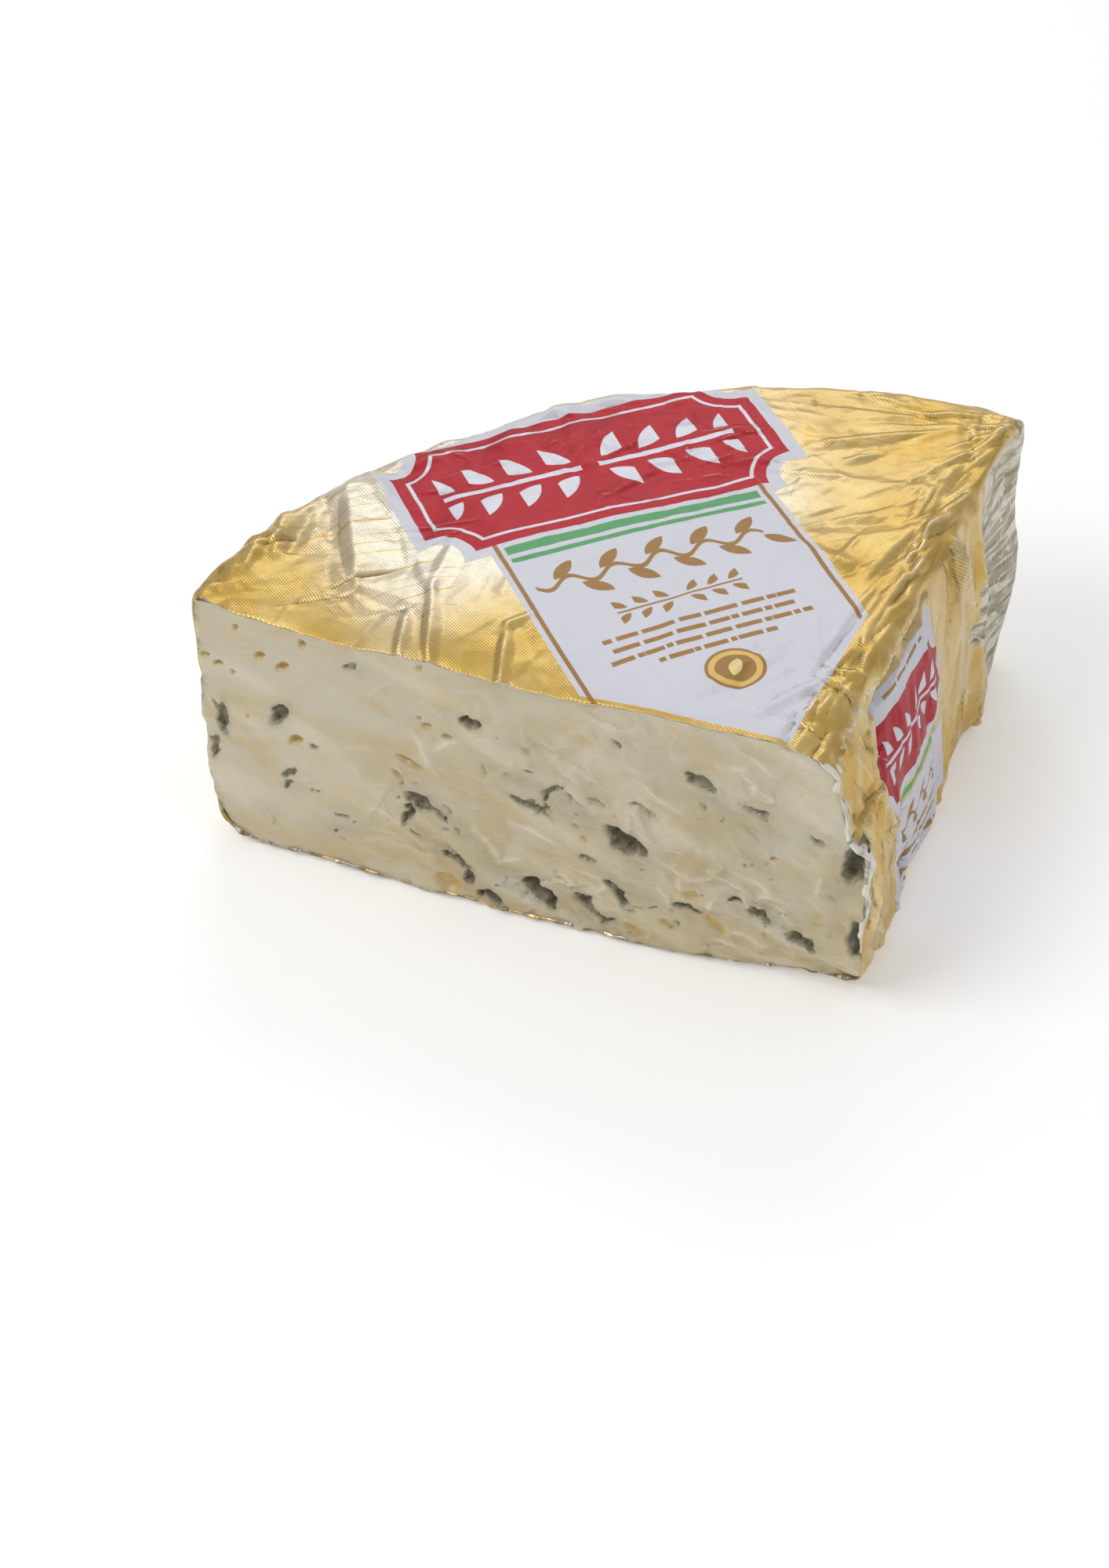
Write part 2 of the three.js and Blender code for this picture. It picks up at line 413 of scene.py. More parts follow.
def top_relief(x, y):
    """Height of the foil on top of the wedge."""
    right_edge = np.exp(-np.maximum(-x - 3, 0) / 4)
    from_centre = (y + SLICE - (x - CENTRE_X)) / math.sqrt(2)
    from_rim = WHEEL_RADIUS - np.hypot(x - CENTRE_X, y + SLICE)
    aside = (y + SLICE + x - CENTRE_X) / math.sqrt(2)
    panel = ramp(aside, -30, -22) * (1 - ramp(aside, 40, 48)) * (1 - ramp(x, -11, -6))
    panel *= 1 - ramp(from_centre, 100, 114)
    loose = 1 - 0.6 * panel
    by_rim = np.exp(-np.maximum(from_rim, 0) / 12) * ramp(-x, 60, 110)
    height = 0.4 * flat_noise(x, y, 30, 12)
    height += loose * (0.55 * facets(x, y, 17, 14, 1.3, 0.9) + 0.16 * facets(x, y, 8, 15, 1.5, 2.2))
    height += (0.06 * loose + 0.5 * by_rim) * facets(x, y, 3.6, 18, 1.6, 0.4)
    height += 1.3 * by_rim * facets(x, y, 7, 20, 1.4, 1.2)
    height += folds(x, y, TOP_FOLDS) + (1 - 0.75 * panel) * folds(x, y, TOP_WRINKLES)
    seam = np.abs(flat_noise(x, y, 2.6, 16, 7.0, 1.54))
    return height + right_edge * (1.1 * seam - 0.3 + 0.7 * facets(x, y, 5, 19, 2.5, 1.5))


def wall_relief(y, z):
    """Height of the foil on the wrapped straight side."""
    upper = ramp(z, 40, HEIGHT)
    drape = flat_noise(y + 0.2 * z, z, 9, 21, 5.0, math.pi / 2)
    near = np.exp(-np.maximum(y, 0) / 22)
    height = 0.35 * drape * (0.6 + upper) + 0.5 * flat_noise(y, z, 22, 22)
    height += (0.8 + 0.7 * near) * facets(y, z, 11, 24, 2.4, 1.5)
    height += (0.35 + 0.6 * near) * facets(y, z, 5.5, 25, 2.0, 1.9)
    height += 1.5 * folds(y, z, WALL_FOLDS)
    back = ramp(y, 92, 106)
    ripple = np.abs(flat_noise(y, z, 3.6, 26, 4.0, 0.3))
    ripple += 0.3 * flat_noise(y, z, 1.8, 28, 3.0, -0.2)
    swags = flat_noise(y, z, 15, 27, 2.2, 1.8)
    return height + back * (0.35 * ripple + 3.2 * swags)


def rim_relief(arc, z):
    """Height of the foil round the rim, where it is gathered and folded under."""
    foot = 1 - ramp(z, 4, 46)
    pleats = np.abs(flat_noise(arc, z, 8, 31, 6.0, math.pi / 2))
    height = 0.7 * flat_noise(arc, z, 24, 32) + (0.2 + 1.3 * foot) * (pleats - 0.3)
    loose = ramp(FACE_ANGLE * WHEEL_RADIUS - arc, 0, 25)
    height += (0.9 + 0.5 * loose) * facets(arc, z, 13, 33, 1.8, 1.3)
    height += (0.5 + 0.5 * loose) * facets(arc, z, 6, 34, 1.8, 1.8)
    return height + (1 + 0.6 * loose) * folds(arc, z, RIM_FOLDS, RIM_FOLD_ROUND)


def under_relief(x, y):
    """How far the foil under the wedge lies off the surface it stands on."""
    along, back = x - CENTRE_X, y + SLICE
    arc = np.arctan2(back, along) * WHEEL_RADIUS
    from_rim = rim_radius(np.arctan2(back, along)) - np.hypot(along, back)
    pleats = np.abs(flat_noise(arc, from_rim, 8, 31, 6.0, math.pi / 2))
    lift = pleats * (1 - ramp(from_rim, 10, 60)) + 0.3 * ramp(flat_noise(x, y, 11, 41), 0, 1)
    return -0.8 * lift


# Folds placed one by one: middle in mm, direction in degrees, length, rise, and each side's width.
TOP_FOLDS = (
    (-125, 31, 120, 52, 1.9, 2.8, 9),
    (-134, 37, 121, 28, -1.1, 3, 4),
    (-120, 17, 132, 18, 0.9, 3, 4),
    (-102, 30, 100, 28, 0.9, 2, 4),
    (-95, 9, 113, 34, 1.3, 1.6, 2.6),
    (-104, 25, 129, 16, 0.7, 1.8, 3),
    (-100, 5, 106, 22, 1.1, 1.5, 2.2),
    (-78, 18, 61, 14, 0.7, 1.5, 2.2),
    (-76, 6, 109, 26, 1.2, 1.5, 2.4),
    (-107, 13, 171, 22, -0.8, 3, 3),
    (-142, 28, 109, 22, 1.3, 2.5, 3),
    (-138, 31, 99, 22, -1.2, 2.5, 3),
    (-144, 19, 99, 16, 1.0, 2, 2.5),
    (-147, 8, 122, 14, -0.7, 2, 3),
    (-128, 52, 140, 24, 0.9, 3, 4),
    (-112, 46, 104, 30, -0.5, 4, 5),
    (-120, 8, 150, 20, 0.4, 3, 4),
    (-88, 26, 140, 20, -0.4, 4, 4),
    (-28, 115, 33, 44, 1.0, 2, 4),
    (-4, 124, 71, 20, 1.1, 2, 2),
    (-7, 105, 89, 26, -1.0, 2, 2.5),
    (-4, 93, 76, 26, 1.3, 2, 3),
    (-9, 71, 81, 28, -1.0, 2, 3),
    (-30, 105, 49, 16, 0.6, 2, 2),
    (-3, 60, 86, 16, -1.6, 1.2, 1.5),
    (-90, 92, 82, 44, 0.6, 3, 7),
    (-72, 80, 66, 34, -0.5, 4, 4),
    (-64, 104, 20, 44, 0.5, 3, 6),
    (-46, 92, 8, 40, -0.45, 4, 4),
    (-60, 52, 74, 40, 0.4, 4, 6),
    (-44, 30, 100, 34, 0.4, 4, 5),
    (-30, 96, 10, 48, 0.8, 3, 7),
    (-22, 80, 22, 34, -0.8, 3, 4),
    (-26, 66, -8, 34, 0.8, 3, 5),
    (-33, 124, 8, 40, 0.7, 2, 5),
    (-26, 20, 64, 32, 0.9, 3, 5),
    (-24, 20, 96, 26, -0.6, 2, 3),
    (-12, 15, 60, 24, 0.9, 2, 3),
    (-9, 44, 87, 44, -0.9, 1.5, 2.5),
    (-5, 84, 70, 16, 1.7, 2, 2),
)
# Smaller ones strewn among them.
TOP_WRINKLES = (
    *strewn_folds(17, 60, (-150, 2, -4, 138), (35, 60), (14, 34), (0.15, 0.4), (0.8, 1.4)),
    *strewn_folds(42, 16, (-148, 4, -98, 72), (70, 45), (9, 26), (0.3, 0.7), (0.7, 1.2)),
    *fanned_folds(43, 34, (2, 133), (180, 262), (6, 78), (16, 44), (0.15, 0.55), (0.6, 1.1)),
    *fanned_folds(62, 60, (2, 133), (185, 262), (6, 90), (10, 30), (0.1, 0.25), (0.45, 0.7)),
    *strewn_folds(44, 30, (-13, 2, -2, 130), (88, 12), (10, 34), (0.3, 0.7), (0.6, 1.1)),
    *strewn_folds(50, 26, (-18, 1, 0, 34), (70, 45), (8, 26), (0.4, 1.0), (0.7, 1.2)),
    *strewn_folds(56, 240, (-150, 1, -2, 138), (60, 60), (4, 16), (0.05, 0.16), (0.45, 0.7)),
    *strewn_folds(94, 110, (-104, 60, -40, 138), (60, 60), (5, 18), (0.08, 0.24), (0.45, 0.8)),
)
WALL_FOLDS = (
    (36, 64, 10, 34, -1.1, 1.5, 2.5),
    (56, 65, 6, 30, -1.0, 1.5, 2),
    (84, 64, 80, 20, 2.0, 3, 3),
    (80, 52, 76, 32, 1.4, 3, 5),
    (92, 50, 98, 38, -1.2, 4, 3),
    (100, 44, 92, 48, 1.4, 3, 5),
    (109, 36, 85, 50, -1.1, 4, 4),
    (12, 58, 118, 34, 1.5, 3, 5),
    (6, 54, 100, 30, -1.1, 3, 3),
    (17, 44, 75, 44, 1.4, 3, 5),
    (10, 34, 96, 38, -1.0, 3, 4),
    (5, 26, 84, 38, 1.0, 2, 4),
    (16, 20, 110, 30, 0.9, 3, 4),
    (25, 52, 60, 30, -0.9, 3, 4),
    (27, 24, 80, 38, 0.9, 3, 5),
    (44, 40, 70, 44, 0.6, 4, 5),
    (58, 36, 112, 44, -0.6, 4, 4),
    (72, 20, 72, 30, 0.9, 3, 4),
    (88, 16, 62, 28, -0.8, 3, 4),
    (60, 8, 30, 30, 0.7, 2, 3),
    (30, 10, 20, 28, 0.7, 2, 3),
    *strewn_folds(45, 30, (0, 2, 30, 68), (90, 32), (10, 30), (0.25, 0.7), (0.7, 1.4)),
    *strewn_folds(46, 40, (20, 2, 110, 66), (85, 30), (10, 36), (0.12, 0.45), (0.8, 1.6)),
    *strewn_folds(47, 34, (0, 2, 120, 18), (70, 40), (6, 20), (0.2, 0.6), (0.6, 1.1)),
    *strewn_folds(57, 120, (0, 1, 130, 69), (80, 45), (4, 13), (0.05, 0.2), (0.5, 1.0)),
)
RIM_FOLDS = (
    *strewn_folds(48, 90, (225, 2, 470, 68), (80, 40), (10, 36), (0.2, 0.7), (1.8, 3.2)),
    *strewn_folds(49, 50, (225, 2, 470, 22), (90, 20), (8, 26), (0.3, 0.9), (1.5, 2.6)),
)


def bend_of(height, points, faces):
    """How sharply a relief bends at each point: above 0 on a crest, below 0 in a valley."""
    corners = np.array([face[:4] if len(face) > 3 else (*face, face[0]) for face in faces])
    total, reach, count = np.zeros(len(points)), np.zeros(len(points)), np.zeros(len(points))
    for step in range(4):
        near, far = corners[:, step], corners[:, (step + 1) % 4]
        length = np.linalg.norm(points[near] - points[far], axis=1)
        for here, there in ((near, far), (far, near)):
            np.add.at(total, here, height[here] - height[there])
            np.add.at(reach, here, length)
            np.add.at(count, here, 1)
    return 2 * total / np.maximum(reach, 1e-6)


def make_foil():
    """The creased sheet, with its torn edge turned in at the cut."""
    points, outward, faces, edge = foil_base()
    x, y, z = points.T
    up = ramp(outward[:, 2], 0.35, 0.85)
    under = ramp(-outward[:, 2], 0.5, 0.9)
    angle = np.arctan2(y + SLICE, x - CENTRE_X)
    side = (1 - up - under) * ramp(x + 0.12 * y, -9, -3) * ramp(outward[:, 0], 0.25, 0.75)
    rim = np.clip(1 - up - under - side, 0, 1)
    height = up * top_relief(x, y) + side * wall_relief(y, z) + under * under_relief(x, y)
    height += rim * rim_relief(angle * WHEEL_RADIUS, z)
    height *= 1 - (1 - RELIEF_AT_CUT) * np.exp(-y / 5)
    height *= 1 - 0.6 * side * bump_at(z, 46.5, 4) * np.exp(-y / 8)
    # The material paints from bend: crests lighter, partly worn ink and partly painted highlight;
    # valleys darker as painted shade.
    bend = bend_of(height, points, faces)
    moved = points + outward * height[:, None]
    moved[:, 1] += toe_offset(x, z) * np.exp(-y / 20)

    torn = ramp(x, 0, 2) * ramp(z, 5, 10)
    ragged = 0.3 * noise(points, 3.0, 51) + 0.4 * noise(points, 9.0, 52)
    ragged += torn * (0.9 * noise(points, 5.0, 53) + 0.5 * noise(points, 1.8, 54))
    ragged += 1.6 * rim * ramp(z, 6, 12) - 1.2 * under * np.abs(noise(points, 2.5, 58))
    dog_ear = torn * bump_at(z, 46.0, 2.4)
    ragged -= 1.5 * dog_ear
    moved[:, 1] += ragged * np.exp(-y / 3)
    flare = torn * (0.1 + 0.7 * ramp(z, 42, 50) * ramp(noise(points, 3.5, 59), -0.2, 0.6))
    moved[:, 0] += (flare + dog_ear) * np.exp(-y / 2)
    moved[:, 2] = np.clip(moved[:, 2], 0.02, None)

    spread = np.maximum(HEIGHT - z, 0)
    flat_x, flat_y = x + np.cos(angle) * spread, y + np.sin(angle) * spread + SLICE
    label = np.column_stack([flat_y - flat_x, flat_y + flat_x, 0 * x]) / math.sqrt(2)
    boundary = 96 + 14 * ramp(z, 40, 70) + 20 * ramp(-z, -40, -4) + 3 * noise(points, 8.0, 55)
    silver = ramp(y - boundary, -0.8, 0.8) * np.maximum(side, rim * ramp(x, -40, -30))
    paper = torn * np.exp(-y / 2) * ramp(noise(points, 6.0, 60) + 0.03 * (z - 40), -0.5, 0.1)
    paper = np.maximum(paper, torn * np.exp(-y / 4) * bump_at(z, 45.4, 2.2))
    # Ragged bits along the foil's foot at the cut turn silver; bend is lowered there so that they also
    # take the painted valley shade.
    crumbs = noise(points, 2.6, 96) + 0.6 * noise(points, 7.0, 97)
    foot_bits = (1 - ramp(z, 2, 6)) * np.exp(-y / 1.5) * ramp(crumbs, -0.5, 0.1)
    silver = np.maximum(silver, foot_bits)
    bend -= 0.5 * foot_bits * (1 + noise(points, 1.3, 98))

    lip = sorted({index for pair in edge for index in pair})
    place = {index: len(points) + position for position, index in enumerate(lip)}
    turned_in = LIP + TORN_LIP * torn[lip] * (1 + 0.5 * noise(points[lip], 2.2, 95))
    inner = moved[lip] - outward[lip] * turned_in[:, None]
    inner[:, 2] = np.clip(inner[:, 2], 0.3, None)
    tucked = inner + np.array([0, TUCK, 0]) - outward[lip] * 0.1
    for a, b in edge:
        near_a, near_b = place[a], place[b]
        faces.append((b, a, near_a, near_b))
        faces.append((near_b, near_a, near_a + len(lip), near_b + len(lip)))
    everywhere = np.concatenate([np.arange(len(points)), lip, lip])
    layers = {"label": label, "sheet": points, "on_wall": side, "silver": silver, "bend": bend}
    attributes = {name: values[everywhere] for name, values in layers.items()}
    attributes["paper"] = np.concatenate([paper, np.tile(ramp(z[lip], 5, 9), 2)])
    return mesh_object("foil", np.vstack([moved, inner, tucked]), faces, attributes)


# ---------------------------------------------------------------- cheese

FACE_CELL = 0.42
CHEESE_GAP = 0.45  # between the foil's outside and the cheese
SNUG = 0.2  # the same at the wrapped side's edge, where the foil clings
RIND_WAVE = 1.1  # how far the face's left edge wavers
CREASE_ROOM = 3.6  # more room than that behind the cut, for the foil's pressed-in creases
RINGS = 24  # of points from the face's edge to the middle of the back
LOBES = 4  # smaller ovals that make each mould pocket's outline ragged
FLECKS = 80  # small dark places in the blue zones
SMEARS = 90  # faint ridges that the knife left

# Mould pockets in the face: x, z, half length, half width, degrees, depth, how dark it is.
POCKETS = (
    (-144.5, 36.5, 5.0, 1.5, 84, 2.2, 1.0),
    (-147.5, 27, 3.6, 1.0, 80, 1.6, 1.0),
    (-130, 41, 4.2, 1.9, 52, 2.6, 1.0),
    (-128.5, 24.5, 2.6, 1.0, 30, 1.2, 0.8),
    (-129, 21, 1.6, 0.8, 60, 1.0, 0.8),
    (-121, 34.5, 0.9, 0.7, 0, 0.8, 0.8),
    (-110.5, 60.5, 1.8, 1.1, 20, 0.7, 0.6),
    (-82, 53, 2.6, 1.9, -25, 2.4, 0.9),
    (-116, 15.5, 1.7, 0.7, 15, 0.8, 0.6),
    (-117.5, 10.5, 1.0, 0.6, 40, 0.7, 0.6),
    (-95.5, 27, 3.6, 2.4, -20, 2.8, 1.0),
    (-98, 22.5, 3.4, 1.2, 78, 2.2, 1.0),
    (-90.5, 25, 2.6, 0.9, -30, 1.2, 0.9),
    (-86.5, 11.5, 4.0, 1.2, -32, 2.2, 1.0),
    (-84, 8, 2.6, 1.6, 60, 2.0, 1.0),
    (-78.5, 4, 3.0, 1.5, -12, 2.4, 1.0),
    (-66, 8.5, 4.8, 2.5, -22, 3.8, 1.0),
    (-56.5, 10.5, 2.6, 1.1, -10, 1.6, 0.9),
    (-52.5, 7.5, 4.6, 1.0, -30, 1.6, 0.9),
    (-69, 34.5, 5.4, 1.2, -18, 1.5, 0.9),
    (-63, 39.5, 3.4, 1.1, 40, 1.0, 0.7),
    (-57, 38.5, 3.6, 0.8, -10, 0.6, 0.5),
    (-46, 31, 5.2, 3.5, -36, 4.2, 1.0),
    (-53.5, 23, 2.4, 1.0, -10, 0.9, 0.6),
    (-46.5, 15, 4.2, 1.8, -58, 3.2, 1.0),
    (-26.5, 53.5, 4.8, 2.0, -26, 2.2, 0.9),
    (-14.5, 49, 3.4, 0.9, -18, 0.8, 0.6),
    (0.5, 45, 2.2, 0.8, -20, 0.8, 0.5),
    (-12.5, 19.5, 3.0, 1.6, -24, 1.8, 0.9),
    (-19, 22, 1.6, 1.0, 20, 1.2, 0.8),
    (-3.5, 16, 4.2, 2.1, -16, 3.0, 1.0),
    (8.5, 41.5, 6.5, 2.6, 82, 4.2, 1.0),
    (9.5, 20, 5.4, 2.0, 86, 3.6, 1.0),
    (-29.5, 16, 3.2, 1.2, -30, 1.4, 0.8),
    (-40.5, 41, 3.0, 0.8, -30, 0.8, 0.5),
    (-51.5, 40.5, 2.4, 0.7, -20, 0.6, 0.5),
)
# Small clean holes: x, z, half length, half width, degrees, depth.
EYES = (
    (-139, 63, 0.9, 0.7, 40, 0.9),
    (-148, 53.5, 1.4, 0.9, 0, 1.1),
    (-144.5, 51.5, 1.3, 0.9, 30, 1.2),
    (-141, 50, 0.8, 0.7, 0, 0.8),
    (-133.5, 56.5, 1.6, 1.1, 35, 1.5),
    (-128, 55.5, 1.8, 1.2, 20, 1.6),
    (-122.5, 63, 1.3, 1.2, 50, 1.4),
    (-126, 35, 2.2, 1.6, 25, 1.9),
    (-93, 64.5, 1.1, 0.8, 0, 0.8),
    (-92.5, 49, 1.4, 0.9, 10, 1.0),
    (-94, 50.5, 0.9, 0.7, 0, 0.7),
    (-88, 47, 1.6, 0.8, 20, 1.1),
    (-97.5, 37.5, 4.0, 0.8, -22, 1.2),
    (-100.5, 32.5, 1.8, 0.9, -30, 1.2),
    (-89.5, 4.5, 3.4, 2.0, -24, 1.8),
    (-138, 38.5, 0.7, 0.6, 0, 0.6),
    (-29.5, 20.5, 2.6, 1.0, -22, 0.8),
    (-24, 13, 3.4, 1.4, -30, 0.9),
    (-35, 9.5, 2.4, 1.0, -15, 0.8),
    (-43, 5, 3.0, 1.2, -20, 0.8),
    (-55, 28, 1.2, 0.7, -20, 0.7),
)
# Places where blue mould shows through the paste: x, z, half length, half width, degrees, strength.
BLUE_ZONES = (
    (-84, 20, 20, 3.0, -42, 0.55),
    (-90, 14, 10, 2.5, -35, 0.6),
    (-62, 7, 22, 4.0, -12, 0.5),
    (-60, 37, 16, 4.5, -12, 0.4),
    (-42, 24, 9, 8.0, -30, 0.3),
    (-36, 14, 16, 5.0, -30, 0.35),
    (-20, 47, 20, 6.0, -26, 0.35),
    (-14.5, 34.5, 6, 4.0, 0, 0.4),
    (-12, 19, 14, 5.0, -18, 0.4),
    (-127, 22, 7, 4.0, 30, 0.35),
    (-116, 12, 8, 3.0, 20, 0.35),
    (-134, 11, 7, 3.0, -10, 0.35),
    (5, 32, 3, 16.0, 0, 0.4),
    (-110, 60, 5, 2.5, 10, 0.3),
    (-70, 50, 5, 2.0, 10, 0.25),
    (-98, 25, 7, 5.0, 60, 0.35),
)
# Raised curls of paste dragged up by the knife: x, z, half length, degrees, rise.
CURLS = (
    (-78, 20, 7, -50, 1.1),
    (-73, 17, 5, 20, 0.9),
    (-50, 18, 7, -20, 0.6),
    (-30, 26, 9, -24, 0.5),
    (-94, 42, 6, -70, 0.5),
    (-88, 45, 5, 30, 0.5),
    (-66, 26, 8, -16, 0.5),
    (-36, 46, 8, -30, 0.5),
    (-12, 28, 9, -20, 0.5),
    (-58, 14, 5, 10, 0.6),
    (-104, 20, 6, -14, 0.5),
    (-12, 62, 4, -40, 0.8),
    (-15, 56, 5, -70, 0.9),
    (-11, 54, 4, -30, 0.8),
    (-18, 60, 3, 20, 0.7),
    (-27, 26, 5, 15, 1.0),
    (-20, 27, 5, -15, 1.0),
    (-16, 22, 4, -70, 0.9),
    (-11, 26, 4, 30, 0.9),
    (-7, 22, 4, -40, 0.8),
    (-24, 20, 4, 60, 0.8),
    (-31, 22, 4, -80, 0.8),
    (-16, 12, 6, -15, 0.8),
    (-59, 15, 5, -30, 0.8),
    (-50, 16, 4, 40, 0.8),
    (-35, 19, 5, -50, 0.7),
    (-20, 8, 6, -10, 0.7),
    (1, 33, 5, 80, 0.6),
)


def oval(x, z, middle_x, middle_z, half_length, half_width, degrees):
    """Distance from the middle of a tilted oval: 1 on its edge."""
    along, across = turned(x - middle_x, z - middle_z, math.radians(degrees))
    return np.hypot(along / half_length, across / half_width)


def face_outline(x_share, z_share):
    """Points over the cut face from shares of its width and height, up to the foil all round."""
    levels = np.linspace(0, HEIGHT, 400)
    places = np.linspace(FACE_LEFT - 5, WALL_SWELL + 5, 800)
    walls = wall_offset(0 * levels, levels) + RELIEF_AT_CUT * wall_relief(0 * levels, levels)
    tops = top_height(places, 0) + RELIEF_AT_CUT * top_relief(places, 0 * places)
    level = z_share * HEIGHT
    for _ in range(5):
        foot = np.clip(RIM_FOOT - level, 0, RIM_FOOT)
        left = FACE_LEFT + CHEESE_GAP + RIM_FOOT - np.sqrt(RIM_FOOT**2 - foot**2)
        waver = flat_noise(level, 0 * level, 9, 87) + 0.4 * flat_noise(level, 0 * level, 2.5, 93)
        left -= RIND_WAVE * waver
        wall = np.interp(level, levels, walls)
        ceiling = np.interp(wall, places, tops)
        edge = np.clip(WALL_EDGE - np.minimum(level, ceiling - level), 0, WALL_EDGE)
        right = wall + np.sqrt(WALL_EDGE**2 - edge**2) - WALL_EDGE - SNUG
        x = left + (right - left) * x_share
        top = np.interp(x, places, tops) - CHEESE_GAP - 1.4 * bump_at(x, FACE_LEFT, 4)
        bottom = CHEESE_GAP + 0.5 * np.abs(flat_noise(x, 0 * x, 4, 88))
        level = bottom + (top - bottom) * z_share
    return x, level


def pocket(x, z, shape, seed):
    """Distance from the middle of a ragged pocket, about 1 on its edge."""
    px, pz, length, width, degrees = shape
    rng = random(seed)
    away = oval(x, z, px, pz, length * 0.85, width * 0.75, degrees)
    for _ in range(LOBES):
        along, across = rng.uniform(-0.85, 0.85) * length, rng.uniform(-0.7, 0.7) * width
        off_x, off_z = turned(along, across, -math.radians(degrees))
        size, thick = rng.uniform(0.25, 0.5) * length, rng.uniform(0.3, 0.65) * width
        lean = degrees + rng.uniform(-60, 60)
        away = np.minimum(away, oval(x, z, px + off_x, pz + off_z, size, thick, lean))
    return away


def place_in_zones(rng):
    """A place somewhere in the blue zones: x, z and about the zone's own direction."""
    weights = np.array([zone[2] * zone[5] for zone in BLUE_ZONES])
    number = rng.choice(len(BLUE_ZONES), p=weights / weights.sum())
    px, pz, length, width, degrees, _ = BLUE_ZONES[number]
    along, across = rng.normal(0, 0.55) * length, rng.normal(0, 0.6) * width
    off_x, off_z = turned(along, across, -math.radians(degrees))
    return px + off_x, pz + off_z, degrees + rng.normal(0, 30)


def curl(x, z, px, pz, length, degrees, width):
    """A short bent ridge: 1 along its top, fading to each side."""
    along, across = turned(x - px, z - pz, math.radians(degrees))
    across += 0.12 * along**2 / length
    return np.clip(1 - (along / length) ** 2, 0, 1) * np.exp(-np.abs(across) / width)


